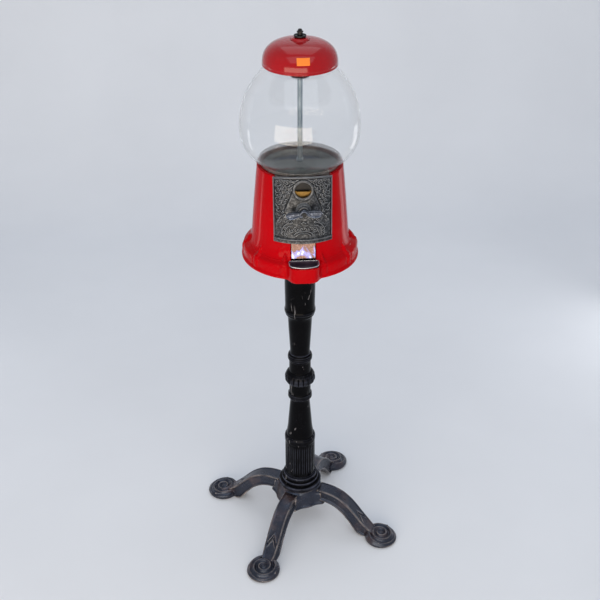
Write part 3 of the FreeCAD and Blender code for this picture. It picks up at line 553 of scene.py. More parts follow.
# Maker, name (for most, a slot of the record) and the maker's settings.
RECIPES = [
    (red_enamel, "red_enamel", 0.48, 0.06, 0.0),
    (red_enamel, "red_enamel_lid", 0.38, 0.28, 0.28),
    (black_enamel, "black_enamel"),
    (cast_iron, "cast_iron"),
    (pewter, "pewter", (0.036, 0.038, 0.043), (0.0015, 0.0015, 0.002), (0.45, 0.46, 0.48), 0.499, 0.585),
    # handle: the bluish base and tip colours stand in for reflected sky; the tip colour is a painted
    # highlight on the lips
    (pewter, "handle_metal", (0.044, 0.056, 0.088), (0.003, 0.004, 0.007),
    (0.56, 0.61, 0.74), 0.494, 0.575), (brushed, "steel", (0.28, 0.28, 0.30), (0.50, 0.50, 0.52)),
    (brushed, "zinc_plate", (0.20, 0.25, 0.28), (0.44, 0.50, 0.53), (0.26, 0.42), 0.85),
    (brushed, "dark_steel", (0.009, 0.008, 0.008), (0.035, 0.029, 0.028), (0.30, 0.50), 0.6),
    # painted shade: near-black steel for the parts deep behind the window and the hub
    (brushed, "dark_gauge", (0.006, 0.006, 0.006), (0.040, 0.034, 0.031), (0.45, 0.65), 0.3, (1, 1, 0.6),
     0.6),
    (brushed, "brass", (0.17, 0.090, 0.020), (0.36, 0.22, 0.065), (0.28, 0.45), 0.9, (0.1, 1, 1)),
    (chrome, "chrome"),
    # bright rim bead: worn metal with a painted highlight
    (brushed, "worn_bright", (0.50, 0.52, 0.55), (0.80, 0.82, 0.84), (0.2, 0.35), 0.8),
    (plastic, "grey_casting", (0.085, 0.096, 0.090), (0.165, 0.176, 0.168), (0.5, 0.7), 60, 0.06),
    (plastic, "wheel_plastic", (0.012, 0.022, 0.045), (0.035, 0.055, 0.095), (0.4, 0.6), 50, 0.10),
    # tray lining: its dark purple-grey tone is a painted reflection of the red body and the sky in grey metal
    (plastic, "cup_lining", (0.030, 0.016, 0.028), (0.085, 0.055, 0.075), (0.28, 0.50), 70),
    (plastic, "rubber", (0.20, 0.15, 0.13), (0.36, 0.31, 0.29), (0.5, 0.7), 70),
    (plastic, "rusty_edge", (0.050, 0.020, 0.014), (0.16, 0.075, 0.060), (0.5, 0.7), 90),
    (glass, "glass"),
    (plastic, "glass_foot", (0.30, 0.285, 0.27), (0.52, 0.50, 0.48), (0.2, 0.4), 80, 0.35, 0.45),
    (paper, "paper_label"),
]
MATERIALS = {name: make(name, *settings) for make, name, *settings in RECIPES}


def dress_cad_nodes():
    """Every CAD node gets the node material of its slot; two small ones deep in the plate get a near-black
    one that paints the shade they sit in.
    """
    for entry in frame["record"]["subparts"]:
        set_material(frame["nodes"][entry["node"]].data, MATERIALS[entry["material_slot"]])
    for name in ("coin_gauge", "handle_screw"):
        set_material(frame["nodes"][name].data, MATERIALS["dark_gauge"])


# ---- pedestal -----------------------------------------------------------------------

LEG_TOP = [(40, 83.2), (52, 83.4), (66, 82.2), (84, 77), (100, 66.8), (113, 54.5), (125, 41), (136, 29.5),
           (145, 21.0), (151, 15.8), (154.5, 11.5)]
LEG_BOTTOM = [(40, 62.5), (52, 60), (64, 58.5), (78, 53.5), (92, 43.5), (104, 30), (114, 16.5), (122, 6.5),
              (130, 2), (136, 1), (141, 1)]
LEG_HALF_WIDTH = 13.9
CHEVRON_HALF = 9.0
CHEVRON_PLACE = 121.0


def leg_arch():
    """Arched bar with a flat top, hollowed flanks, a lip along each lower edge and a cut chevron."""
    steps = 8
    top = np.array(smooth(LEG_TOP, steps))
    bottom = np.array(smooth(LEG_BOTTOM, steps))
    rings = []
    for k, (t, b) in enumerate(zip(top, bottom)):
        way = k / (len(top) - 1)
        up = t - b
        height = np.linalg.norm(up)
        up /= height
        half = LEG_HALF_WIDTH * (1.0 - 0.04 * way - 0.30 * way ** 6)
        side = [(0.0, 0.0), (half * 0.6, 0.0), (half, 0.0), (half + 0.05, 2.0), (half - 0.7, 3.2),
                (half - 3.2, 4.6), (half - 3.8, height * 0.5), (half - 3.4, height - 5.0),
                (half - 1.2, height - 3.4), (half - 0.5, height - 2.2), (half - 0.8, height - 0.7),
                (half - 1.9, height), (half - 3.2, height - 0.3), (half - 4.2, height - 1.0)]
        flat = np.linspace(half - 4.8, 0, 12)
        side += [(y, height - 1.2) for y in flat]
        ring = []
        for y, h in side + [(-y, h) for y, h in reversed(side[1:-1])]:
            if h > height - 1.25 and abs(y) < CHEVRON_HALF:
                arm = (abs(y) * 1.35 - (t[0] - CHEVRON_PLACE)) / 2.2
                fade = min(1.0, (CHEVRON_HALF - abs(y)) / 1.5)
                h -= 3.2 * max(0.0, 1 - arm ** 2) * fade
                h += 0.9 * max(0.0, 1 - (abs(arm) - 1.7) ** 2 * 2) * fade
            point = b + up * h
            ring.append((point[0], y, point[1]))
        rings.append(ring)
    return loft(rings)


def scroll_foot():
    """Round foot whose top is a raised spiral that winds into a small eye."""
    rings = 46
    sides = 132
    r = np.linspace(0.0, 1.0, rings)[:, None] ** 0.9 * FOOT_RADIUS
    a = (np.arange(sides) * TAU / sides)[None, :]
    pitch = 9.6
    phase = r / pitch - a / TAU
    ridge = (0.5 + 0.5 * np.cos(TAU * phase)) ** 0.8
    reach = np.clip((r - 3.5) / 4.0, 0, 1) * np.clip((FOOT_RADIUS - 1.5 - r) / 5.0, 0, 1)
    eye = 3.2 * np.clip(1 - (r / 5.0) ** 2, 0, 1) ** 0.5
    crown = 2.4 * (1 - (r / FOOT_RADIUS) ** 2)
    edge = 3.6 * np.clip((r - FOOT_RADIUS + 4.0) / 4.0, 0, 1) ** 2
    x = r * np.cos(a)
    y = r * np.sin(a)
    z = 8.6 + crown + 4.4 * ridge * reach + eye - edge - 0.11 * x
    top = np.stack([x + LEG_REACH, y, z], axis=-1)
    skirt = [(FOOT_RADIUS, 4.5), (FOOT_RADIUS - 0.2, 2.0), (FOOT_RADIUS - 1.2, 0.4),
             (FOOT_RADIUS - 3, 0.05), (0, 0.05)]
    below = [np.stack([q * np.cos(a[0]) + LEG_REACH, q * np.sin(a[0]), np.full(sides, h)], axis=-1)
             for q, h in skirt]
    co = np.concatenate([top.reshape(-1, 3)] + below)
    return co, ring_faces(rings + len(skirt), sides)


def make_legs():
    """One leg is made along +X, fused, and copied to the four corners."""
    bolster = smooth([(LEG_REACH - 26, 0, 17.5), (LEG_REACH - 20, 12, 14), (LEG_REACH - 8, 22, 11.2),
                      (LEG_REACH + 6, 26.0, 9.6)], 6)
    bead = pipe(bolster, np.linspace(2.6, 1.2, len(bolster)))
    other = (bead[0] * np.array([1, -1, 1]), bead[1])
    master = piece("leg_master", [leg_arch(), scroll_foot(), bead, other], "frame", "cast_iron")
    fuse(master, LEG_VOXEL)
    points = np.zeros(len(master.data.vertices) * 3)
    master.data.vertices.foreach_get("co", points)
    points = points.reshape(-1, 3)
    points[:, 2] = np.maximum(points[:, 2], 0.0)
    for number, name in enumerate(LEG_NAMES):
        angle = LEG_ANGLE + number * TAU / 4
        c = math.cos(angle)
        s = math.sin(angle)
        turn = np.array([[c, s, 0], [-s, c, 0], [0, 0, 1]])
        mesh = master.data.copy()
        mesh.vertices.foreach_set("co", (points @ turn).ravel())
        mesh.update()
        leg = new_object(name + "_cast", mesh)
        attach(leg, "frame")
        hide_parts(name)
    bpy.data.objects.remove(master)


def leg_webs(r, z, a):
    """Broad hollow corners between the hub's wall and the legs' sides."""
    off = np.abs((a - LEG_ANGLE + TAU / 8) % (TAU / 4) - TAU / 8)
    near = np.clip(1 - (off - math.radians(14)) / math.radians(20), 0, 1)
    return 9.0 * near ** 2.2 * (r > HUB_RADIUS - 12) * np.clip((HUB_TOP - 1 - z) / 8.0, 0, 1)


def make_hub():
    side = [(5.2, 60), (HUB_RADIUS - 8, 60), (HUB_RADIUS - 5, HUB_BOTTOM + 1),
            (HUB_RADIUS - 3.5, HUB_BOTTOM), (HUB_RADIUS, HUB_BOTTOM + 0.5),
            (HUB_RADIUS, HUB_BOTTOM + 3.0), (HUB_RADIUS - 3.0, HUB_BOTTOM + 5.0),
            (HUB_RADIUS - 4.6, 64, 4), (HUB_RADIUS - 5.4, 74, 6), (HUB_RADIUS - 7.0, 80, 4),
            (HUB_RADIUS - 8.5, HUB_TOP), (5.2, HUB_TOP)]
    turning("base_hub_cast", side, 1.2, 240, "cast_iron", "base_hub", relief=leg_webs)


def make_base_ring():
    b = HUB_TOP
    r = RING_RADIUS
    side = [(12, b), (r - 2.4, b), (r - 2.4, b + 1.6), (r, b + 2.2, 2.4), (r, b + 9.8, 3.2),
            (r - 5.2, b + 10.8, 0.7), (r - 5.4, b + 11.4, 0.5), (r - 5.2, b + 18.0, 2.4),
            (r - 8.4, b + 18.6, 0.6), (r - 8.6, b + 19.2, 0.5), (r - 8.6, b + 26.2, 2.6),
            (r - 11.6, RING_TOP, 0.6), (12, RING_TOP)]
    turning("base_ring_turned", side, 0.5, 160, "black_enamel", "base_ring", steps=5)


def flutes(count, z0, z1, depth):
    """Shallow upright grooves between two heights, fading out at both ends."""

    def relief(r, z, a):
        fade = np.clip((z - z0) / 4.0, 0, 1) * np.clip((z1 - z) / 4.0, 0, 1)
        groove = np.abs(np.cos(count * a / 2)) ** 6
        outside = r > 20
        return -depth * groove * np.sqrt(fade) * outside

    return relief


def make_lower_column():
    b = RING_TOP
    side = [(14, b), (27.3, b), (27.4, 116, 1), (27.5, 150), (27.5, 184.5), (27.6, 186.6, 0.6),
            (28.1, 188.2, 1.5), (28.1, 196.6, 2.2), (26.4, 199.8, 1.4), (24.9, 200.6, 1.2),
            (24.6, 204.5, 6), (22.5, 217, 8), (18.9, 261.6, 30), (17.7, 276, 8), (17.7, 281, 2),
            (18.6, KNOP_BOTTOM), (14, KNOP_BOTTOM)]
    rows = rounded(side, 0.6, 5)
    dense = []
    for (r0, z0), (r1, z1) in zip(rows, rows[1:]):
        parts = max(1, int(abs(z1 - z0) / 3.0))
        dense += [(r0 + (r1 - r0) * k / parts, z0 + (z1 - z0) * k / parts) for k in range(parts)]
    dense.append(rows[-1])
    body = lathe(dense, 240, True, flutes(count=20, z0=119, z1=183, depth=0.9))
    piece("lower_column_turned", [body], "frame", "black_enamel", ["lower_column"])


GEAR_TEETH = 18


def gear_lobes(r, z, a):
    """Rounded teeth on the middle ring, strongest on its lower outer edge."""
    middle = KNOP_BOTTOM + 44.5
    band = np.exp(-((z - middle) / 7.5) ** 4) * (r > 20.5)
    wave = np.abs(np.sin(GEAR_TEETH / 2 * a)) ** 0.7
    return -2.3 * band * (1 - wave)


def make_knop():
    b = KNOP_BOTTOM
    side = [(14, b), (20.0, b, 0.6), (21.6, b + 1.6, 1.5), (21.6, b + 4.6, 1.5), (20.8, b + 5.6, 0.4),
            (21.4, b + 6.4, 1.0), (21.2, b + 9.6, 1.5), (19.4, b + 11.6, 0.8), (19.2, b + 13, 1),
            (19.2, b + 33.5, 1.2), (21.0, b + 34.8, 0.8), (24.8, b + 35.6, 1.2),
            (GEAR_RADIUS, b + 39.5, 2), (GEAR_RADIUS, b + 46.5, 2), (24.6, b + 53, 1.5),
            (21.4, b + 56.8, 1), (19.2, b + 58, 1), (19.2, b + 79.5, 1), (20.2, b + 81, 0.5),
            (20.4, b + 83.4, 0.4), (21.6, b + 84.6, 1.0), (21.6, b + 89.6, 1.6), (20.6, b + 91.0, 0.4),
            (20.9, b + 92.6, 0.7), (18.9, b + 94.6, 0.6), (18.3, KNOP_TOP), (14, KNOP_TOP)]
    turning("middle_knop_turned", side, 0.5, 288, "black_enamel", "middle_knop", steps=5, relief=gear_lobes)


def make_upper_column():
    b = KNOP_TOP
    c = COLLAR_RADIUS
    side = [(14, b), (17.7, b), (17.5, b + 6, 4), (17.9, b + 14, 8), (19.0, b + 34, 10),
            (20.1, b + 54.5, 10), (20.9, b + 72, 4), (22.6, b + 78.6, 3), (24.8, b + 80.8, 1.2),
            (25.4, b + 82.6, 0.5), (25.8, b + 85.4, 0.6), (c, b + 87, 1.6), (c, b + 91.2, 1.8),
            (25.9, b + 93.4, 0.8), (25.6, b + 99, 6), (26.1, b + 136, 6), (26.2, COLUMN_TOP),
            (14, COLUMN_TOP)]
    turning("upper_column_turned", side, 0.6, 192, "black_enamel", "upper_column", steps=5)


# ---- machine body -------------------------------------------------------------------

BODY_SIDE = [(78.9, 624.0), (77.9, 635.0), (77.1, 645.8), (75.5, 664), (73.9, 683.2), (72.2, 701),
             (70.5, 719.8), (69.4, 730), (68.8, 736)]
FLARE = [(96.1, 580.6), (96.1, 582.8), (94.8, 584.6), (93.7, 586.4), (93.5, 590), (93.6, 595),
         (93.2, 599.0), (92.0, 601.6), (90.2, 603.0), (87.2, 604.6), (84.4, 606.6), (82.2, 609.4),
         (80.7, 613.4), (79.7, 618.5)]
RIB_ANGLES = [20.5, 54.0, 90.0, 126.0, 162.0]
RIB_TOP = 621
LOBE_MIDDLE = 593.8
BUD_BOTTOM = 601
BUD_TOP = 618
FLARE_RADIUS = 92.0
# Outside this radius the nose has a level top, whose inner face lies lower by its thickness.
SHELF_RADIUS = 93
SHELF_THICKNESS = 3.4
BULGE_HALF = 29.5
BULGE_POWER = 4.6
BULGE_TOP_Z = 606.4
DOOR_HALF = 20.4
DOOR_LOW = 607.5
DOOR_HIGH = 641.0
DOOR_WALL_RADIUS = 80.5
# The wall's columns of points are closer within this angle of the front.
FINE_DEGREES = 21
CUP_HALF = 22.4
CUP_BACK = -78
CUP_FRONT = -104.2
# Holes in the wall at the front, as (half width, lowest and highest height): the doorway, and three that
# the front plate covers.
FRONT_HOLES = [(DOOR_HALF, DOOR_LOW, DOOR_HIGH), (36, 650, 731), (16, 700, 738), (44, 737.5, BODY_TOP + 1)]
TRAY_POINTS = 120


def bulge_reach(front_angle):
    """Plan radius of the nose under the tray at an angle from the front, in radians."""
    s = np.abs(np.sin(front_angle)) / BULGE_HALF
    c = np.clip(np.cos(front_angle), 0.02, 1) / abs(BULGE_FRONT)
    return (s ** BULGE_POWER + c ** BULGE_POWER) ** (-1 / BULGE_POWER)


def blend_max(a, b, width):
    """Larger of two arrays, with a soft inside corner."""
    h = np.clip(0.5 + 0.5 * (a - b) / width, 0, 1)
    return b + (a - b) * h + width * h * (1 - h)


def rib_relief(front_angle, z):
    """Ten buds and lobes round the flared foot."""
    height = np.zeros_like(z)
    for angle in RIB_ANGLES:
        arc = (np.abs(front_angle) - math.radians(angle)) * FLARE_RADIUS
        band = np.clip(1 - (np.abs(z - LOBE_MIDDLE) / 8.8) ** 4, 0, 1)
        lobe = np.clip(1 - (np.abs(arc) / 5.4) ** 2.6, 0, 1) * band
        groove = np.exp(-((np.abs(arc) - 6.5) / 1.2) ** 2) * band
        bud = np.clip(1 - (np.abs(arc) / np.clip(1.2 + (BUD_TOP - z) * 0.36, 0.5, 6)) ** 2.2, 0, 1)
        bud *= np.clip((BUD_TOP - z) / 4.0, 0, 1) * np.clip((z - BUD_BOTTOM) / 3.0, 0, 1)
        height += 1.7 * lobe - 0.8 * groove + 4.6 * bud
    return height


def body_outline():
    """Rows of (radius, height, share of the way from the side to the front of the nose)."""
    flare = smooth(FLARE, 3)
    under = [(r, z, 1.0) for r, z in flare if z < BULGE_TOP_Z]
    over = [(r, z, 0.0) for r, z in flare if z > BULGE_TOP_Z + 1.0]
    join = under[-1][0]
    shelf = [(join + (over[0][0] - join) * k / 20, BULGE_TOP_Z + k / 20, 1 - k / 20) for k in range(21)]
    shelf[0] = (shelf[0][0], BULGE_TOP_Z - 0.15, 0.995)
    side = [(r, z, 0.0) for r, z in smooth(BODY_SIDE, 3)]
    rim = [(68.6, 738.6, 0.0), (68.2, 740.2, 0.0), (67.2, BODY_TOP - 0.1, 0.0), (65.4, BODY_TOP, 0.0),
           (64.5, BODY_TOP - 0.8, 0.0)]
    rows = under + shelf + over + side + rim
    heights = [q[1] for q in rows]
    extra = [z for z in (DOOR_LOW, DOOR_HIGH) if min(abs(z - h) for h in heights) > 0.01]
    outer = [q for q in rows if q[1] > BULGE_TOP_Z + 1.0 and q[1] < 730]
    for z in extra:
        r = np.interp(z, [q[1] for q in outer], [q[0] for q in outer])
        rows.append((float(r), z, 0.0))
    return sorted(rows, key=lambda q: (q[1] if q[1] < BODY_TOP - 1 else 1000 - q[0]))


def make_body():
    rows = np.array(body_outline())
    coarse = np.radians(np.arange(-180, 180, 1.0))
    door = math.asin(DOOR_HALF / DOOR_WALL_RADIUS)
    fine = np.radians(np.arange(-FINE_DEGREES, FINE_DEGREES + 0.01, 0.5))
    coarse = coarse[np.abs(coarse) > math.radians(FINE_DEGREES + 0.2)]
    angles = np.unique(np.round(np.concatenate([coarse, fine, [door, -door]]), 6))
    front = angles[None, :]
    r = rows[:, :1] + 0 * front
    z = rows[:, 1:2] + 0 * front
    share = rows[:, 2:3] + 0 * front
    plain = r + rib_relief(front, z) * (z < RIB_TOP)
    tuck = np.clip((z - BODY_BOTTOM) / 6.0, 0, 1) ** 0.5
    nose = bulge_reach(front) - 2.2 * (1 - tuck)
    ledge = blend_max(nose, plain, 9.0)
    ledge = np.minimum(ledge, np.maximum(plain, abs(BULGE_FRONT) - 0.2))
    r = plain + (ledge - plain) * share
    wall = np.interp(z, [BODY_BOTTOM, 600, 620, 735, BODY_TOP], [3.0, 3.6, 4.0, 3.6, 2.6])
    spin = front - TAU / 4
    outer_points = np.stack([r * np.cos(spin), r * np.sin(spin), z], axis=-1)
    smooth_r = rows[:, :1] + (ledge - rows[:, :1]) * share
    hollow = np.minimum(smooth_r, r) - wall
    on_shelf = (z > BULGE_TOP_Z - 4) & (z < BULGE_TOP_Z + 1.05) & (r > SHELF_RADIUS)
    drop = SHELF_THICKNESS * np.clip((r - SHELF_RADIUS + 2) / 5, 0, 1)
    inner_z = np.where(on_shelf, np.minimum(z, BULGE_TOP_Z + 1) - drop, z)
    inner_points = np.stack([hollow * np.cos(spin), hollow * np.sin(spin), inner_z], axis=-1)
    outer_points = np.concatenate([outer_points, outer_points[:, :1]], axis=1)
    inner_points = np.concatenate([inner_points, inner_points[:, :1]], axis=1)
    mid = (outer_points[:-1, :-1] + outer_points[1:, 1:]) / 2
    keep = np.ones(mid.shape[:2], bool)
    at_front = mid[..., 1] < -40
    x = np.abs(mid[..., 0])
    for half, lowest, highest in FRONT_HOLES:
        keep &= ~(at_front & (x < half) & (mid[..., 2] > lowest) & (mid[..., 2] < highest))
    tray = at_front & (x < CUP_HALF) & (mid[..., 1] > CUP_FRONT) & (mid[..., 1] < CUP_BACK)
    keep &= ~(tray & (np.abs(mid[..., 2] - BULGE_TOP_Z - 0.5) < 0.7))
    shell = slab(outer_points, inner_points, keep)
    ledge_ring = lathe([(58, 732), (66.2, 730), (65.4, 736), (58, 736)], 96, True)
    piece("body_shell_cast", [shell, ledge_ring], "frame", "red_enamel", ["body_shell"], sharp=40)


def tray_outline(inset):
    """Plan of the tray, drawn in by a distance: straight back and sides, and one wide arc in front."""
    half = high("tray_cup").x - 0.6 - inset
    back = high("tray_cup").y - inset
    centre_y = -67.6
    reach = abs(low("tray_cup").y) - abs(centre_y) - inset
    corner = math.asin(min(half / reach, 1.0)) * 0.86
    side_y = centre_y - reach * math.cos(corner)
    arc = [(reach * math.sin(t), centre_y - reach * math.cos(t)) for t in np.linspace(-corner, corner, 15)]
    path = [(0, back), (-half, back, 4.0), (-half, side_y + 6, 7.0)] + [(x, y, 4.0) for x, y in arc]
    path += [(half, side_y + 6, 7.0), (half, back, 4.0), (0, back)]
    p = np.array(rounded(path, 4.0, 6))
    along = np.concatenate([[0], np.cumsum(np.linalg.norm(np.diff(p, axis=0), axis=1))])
    places = np.arange(TRAY_POINTS) * along[-1] / TRAY_POINTS
    return np.column_stack([np.interp(places, along, p[:, 0]), np.interp(places, along, p[:, 1])])


def make_cup():
    """Lining of the tray: a rounded pan with a thin rolled rim."""
    top = high("tray_cup").z
    floor = low("tray_cup").z + 1.5
    rings = [(4.4, floor - 1.4), (3.6, top - 1.7), (0.5, top - 1.5), (0.0, top - 0.8), (0.4, top - 0.1),
             (1.2, top), (2.0, top - 0.5), (2.9, top - 2.2), (3.9, floor + 3.4), (5.4, floor + 1.0),
             (7.6, floor + 0.1), (9.5, floor)]
    loops = [np.column_stack([tray_outline(inset), np.full(TRAY_POINTS, z)]) for inset, z in rings]
    piece("tray_cup_pan", [loft(loops)], "frame", "cup_lining", ["tray_cup"])
    # bright bead on the rim: partly bare worn metal, partly a painted highlight on the rolled edge
    rim = np.column_stack([tray_outline(0.85), np.full(TRAY_POINTS, top - 0.42)])
    worn_rim_highlight = pipe(np.concatenate([rim, rim[:1]]), 0.75, 8)
    piece("tray_rim_wear_highlight", [worn_rim_highlight], "frame", "zinc_plate", look="worn_bright")


# ---- globe, tube, hopper and lid ------------------------------------------------------

GLOBE_SIDE = [(65.2, 745.0), (71.4, 751.4), (79.5, 758.2), (85.1, 765.7), (89.5, 774.1), (93.1, 784.1),
              (94.45, 797), (94.0, 813), (91.9, 828.5), (88.0, 842.3), (82.3, 856.4), (74.2, 869.9),
              (65.5, 882.3), (56.5, 892.2)]


GLOBE_WALL = 2.0


def make_globe():
    outer = smooth([(63.6, 742.2)] + GLOBE_SIDE + [(51.2, 897.2), (50.4, 902.5)], 6)
    inner = offset(outer, GLOBE_WALL)
    lip = [(50.4, GLOBE_TOP - 1.6), (49.9, GLOBE_TOP - 0.3), (49.2, GLOBE_TOP), (48.5, GLOBE_TOP - 0.8)]
    foot = [(60.6, GLOBE_BOTTOM + 0.5), (61.4, GLOBE_BOTTOM), (62.8, GLOBE_BOTTOM),
            (63.5, GLOBE_BOTTOM + 0.6)]
    bead = rounded([(60.2, 741.4), (60.6, 745.2), (61.8, 747.2), (63.4, 748.4)], 1.0)
    inner = [q for q in inner if q[1] > 749.0]
    profile = foot + outer + lip + list(reversed(inner)) + list(reversed(bead))
    piece("globe_glass", [lathe(profile, 192, True)], "frame", "glass", ["globe"], sharp=60)
    haze = [(61.0, 742.2), (62.9, 742.2), (63.6, 745.0), (65.4, 747.6), (64.8, 748.4), (62.4, 746.6),
            (61.2, 744.6)]
    turning("globe_foot_haze", haze + haze[:2], 0.3, 160, "glass", look="glass_foot")


def make_tube():
    r = TUBE_RADIUS
    side = [(ROD_BORE, TUBE_BOTTOM), (r - 0.4, TUBE_BOTTOM), (r, TUBE_BOTTOM + 0.5), (r, TUBE_TOP - 0.5),
            (r - 0.4, TUBE_TOP), (ROD_BORE, TUBE_TOP)]
    turning("center_tube_drawn", side, 0.2, 48, "zinc_plate", "center_tube", steps=3)
    flat = high("tube_nut").x - 0.1
    outline = hexagon(flat)
    nut_low = low("tube_nut").z
    nut_high = high("tube_nut").z
    dome = [(flat * 0.86, nut_low + 3.6), (flat * 0.82, nut_high - 0.5, 1), (TUBE_RADIUS, nut_high, 0.3),
            (ROD_BORE, nut_high)]
    nut = [prism(outline, nut_low, nut_low + 4.2, 0.7), lathe(rounded(dome, 0.6), 40)]
    piece("tube_nut_cut", nut, "frame", "zinc_plate", ["tube_nut"])
    w = high("tube_washer").x
    wl = low("tube_washer").z
    wh = high("tube_washer").z
    washer = [(ROD_BORE, wl), (w - 0.6, wl), (w, (wl + wh) / 2), (w - 0.6, wh), (ROD_BORE, wh)]
    turning("tube_washer_pressed", washer, 0.5, 64, "zinc_plate", "tube_washer")


def make_rod():
    """Plain rod with a rolled thread at its upper end, seen above the lid's nut."""
    bottom = low("center_rod").z
    z = THREAD_START
    side = [(0, bottom), (ROD_RADIUS, bottom), (ROD_RADIUS, z)]
    while z < ROD_TOP - 1.6:
        side += [(ROD_RADIUS - 0.45, z + THREAD_PITCH * 0.5), (ROD_RADIUS, z + THREAD_PITCH)]
        z += THREAD_PITCH
    side += [(ROD_RADIUS - 0.6, ROD_TOP - 0.5), (ROD_RADIUS - 1.3, ROD_TOP), (0, ROD_TOP)]
    piece("center_rod_threaded", [lathe(side, 40)], "frame", "zinc_plate", ["center_rod"], 50, "dark_steel")


LID_DOME = LID_TOP - LID_BOTTOM - 3.2
LID_POWER = 2.75


def lid_height(r):
    """Height of the lid's domed face at a radius."""
    return LID_BOTTOM + LID_DOME * (1 - min(r / LID_RADIUS, 1) ** LID_POWER) ** (1 / LID_POWER)


def make_lid():
    radii = np.concatenate([np.linspace(15.2, 44, 22), np.linspace(45, 54.5, 18)])
    dome = [(r, lid_height(r)) for r in radii]
    bend = 2 / LID_POWER
    dome += [(LID_RADIUS * math.cos(t) ** bend, LID_BOTTOM + LID_DOME * math.sin(t) ** bend)
             for t in np.linspace(0.30, 0.02, 10)]
    dome = [q for q in dome if q[1] > LID_BOTTOM + 4]
    boss = [(3.6, LID_TOP - 2), (3.6, LID_TOP - 0.3), (6, LID_TOP), (11.6, LID_TOP - 0.7, 2),
            (13.6, LID_TOP - 2.6, 2), (14.2, LID_TOP - 4.6, 1.2), (15.4, lid_height(15.4))]
    rim = [(LID_RADIUS - into, LID_BOTTOM + up)
           for into, up in ((0.5, 3.4), (0.5, 2.6), (0, 2.0), (0, 0.7), (0.7, 0), (1.7, 0.1), (2.2, 1.0))]
    shell = rounded(boss, 1.0, 5) + dome + rim
    inner = [(LID_RADIUS - 2.4, LID_BOTTOM + 4)] + [(r * 0.957, z - 2.0) for r, z in reversed(dome[::2])]
    inner += [(3.6, LID_TOP - 6)]
    stop_z = GLOBE_TOP + 0.4
    stop = lathe([(46, stop_z), (52.4, stop_z), (52.6, stop_z + 2.2), (46, stop_z + 2.2)], 128, True)
    parts = [lathe(shell + inner, 192, True), stop]
    piece("lid_spun", parts, "lid", "red_enamel", ["lid"], 40, "red_enamel_lid")


def make_lid_hardware():
    wl = low("lid_washer").z
    w = high("lid_washer").x
    cup = [(3.7, wl + 0.6), (w - 1.0, wl + 0.1, 0.6), (w, wl + 1.4, 0.6), (w - 0.1, wl + 3.2, 0.5),
           (w - 1.0, wl + 3.45, 0.4), (w - 1.6, wl + 2.2, 0.6), (3.7, wl + 2.0)]
    turning("lid_washer_cupped", cup, 0.4, 72, "dark_steel", "lid_washer", body="lid")
    outline = hexagon(4.95)
    step = NUT_HIGH - 2.6
    collar = [(3.3, NUT_LOW), (4.0, NUT_LOW), (4.0, step + 0.2), (3.3, step + 0.2)]
    piece("lid_nut_cut", [prism(outline, step, NUT_HIGH, 0.6), lathe(rounded(collar, 0.3), 40, True)],
          "lid_nut", "dark_steel", ["lid_nut"])


def make_sticker():
    """Blank price label that follows the lid, with one corner a little lifted."""
    box_low = low("price_sticker")
    box_high = high("price_sticker")
    rows = 16
    cols = 22
    heights = np.linspace(box_low.z, box_high.z - 0.2, rows)
    radii = []
    for z in heights:
        rise = min(max((z - LID_BOTTOM) / LID_DOME, 0), 1)
        radii.append(LID_RADIUS * (1 - rise ** LID_POWER) ** (1 / LID_POWER))
    across = np.linspace(box_low.x + 0.2, box_high.x - 0.2, cols)

    def place(i, j):
        lift = 0.22 + 0.9 * max(0.0, (i / rows + j / cols) - 1.55) ** 1.5
        a = math.asin(across[j] / radii[i])
        return [((radii[i] + out) * math.sin(a), -(radii[i] + out) * math.cos(a), heights[i] + out * 0.4)
                for out in (lift + 0.12, lift)]

    piece("price_label", [sheet(rows, cols, place)], "lid", "paper_label", ["price_sticker"], sharp=60)


def make_hopper():
    """Dished casting round the dispensing wheel, and the half-round platform over its front half."""
    floor = low("hopper").z
    rim = high("hopper_platform").z - 5.5
    bowl = [(12.5, floor + 3.1), (53.6, floor + 3.1), (54, floor + 4), (54.0, rim - 6),
            (55.4, rim - 2.2, 2), (58.6, rim - 0.4, 1.5), (59.6, rim, 0.5), (63.7, rim), (63.7, rim - 2),
            (56, rim - 2.4), (56, floor), (12.5, floor)]
    parts = [lathe(rounded(bowl, 0.6), 144, True)]
    sleeve = [(ROD_BORE, floor), (12.5, floor), (12.5, floor + 3.1), (6.95, floor + 3.1), (6.95, rim - 7),
              (5.9, rim - 7), (5.9, PLATFORM_TOP - 2.6), (ROD_BORE, PLATFORM_TOP - 2.6)]
    parts.append(lathe(rounded(sleeve, 0.2), 64, True))
    piece("hopper_cast", parts, "frame", "grey_casting", ["hopper"])

    rear = 4.0
    r = PLATFORM_RADIUS
    rows = 60
    cols = 90
    edge = rear - 0.02
    front = np.zeros((rows, cols, 3))
    back = np.zeros((rows, cols, 3))
    for i in range(rows):
        for j in range(cols):
            v = j / (cols - 1) * 2 - 1
            a = v * (TAU / 4 + math.asin(rear / r))
            x = r * math.sin(a)
            y = edge + (-r * math.cos(a) - edge) * i / (rows - 1)
            fall = 1.6 * np.clip((math.hypot(x, y) - (r - 3.5)) / 3.5, 0, 1) ** 2
            crease = 0.5 * math.exp(-(rear - y - 3.0) ** 2)
            dent = 0.8 * math.exp(-((x + 8) ** 2 + (y + 1) ** 2) / 6.0)
            z = PLATFORM_TOP - fall - crease - dent
            front[i, j] = (x, y, z)
            back[i, j] = (x, y, z - 2.3)
    middles = (front[:-1, :-1] + front[1:, 1:]) / 2
    top = slab(front, back, np.hypot(middles[..., 0], middles[..., 1]) > ROD_BORE)
    walls = [block(x0, x1, rear - 2, rear, low("hopper_platform").z, PLATFORM_TOP - 1.4)
             for x0, x1 in ((-52.5, -7.6), (7.6, 52.5))]
    screw = rounded([(0, PLATFORM_TOP + 0.9), (1.6, PLATFORM_TOP + 0.8), (2.2, PLATFORM_TOP - 0.3)], 0.8)
    head = lathe(list(reversed(screw)), 24)
    head = (head[0] + np.array([0.0, -33.0, 0.0]), head[1])
    piece("hopper_platform_cast", [top, *walls, head], "frame", "grey_casting", ["hopper_platform"])


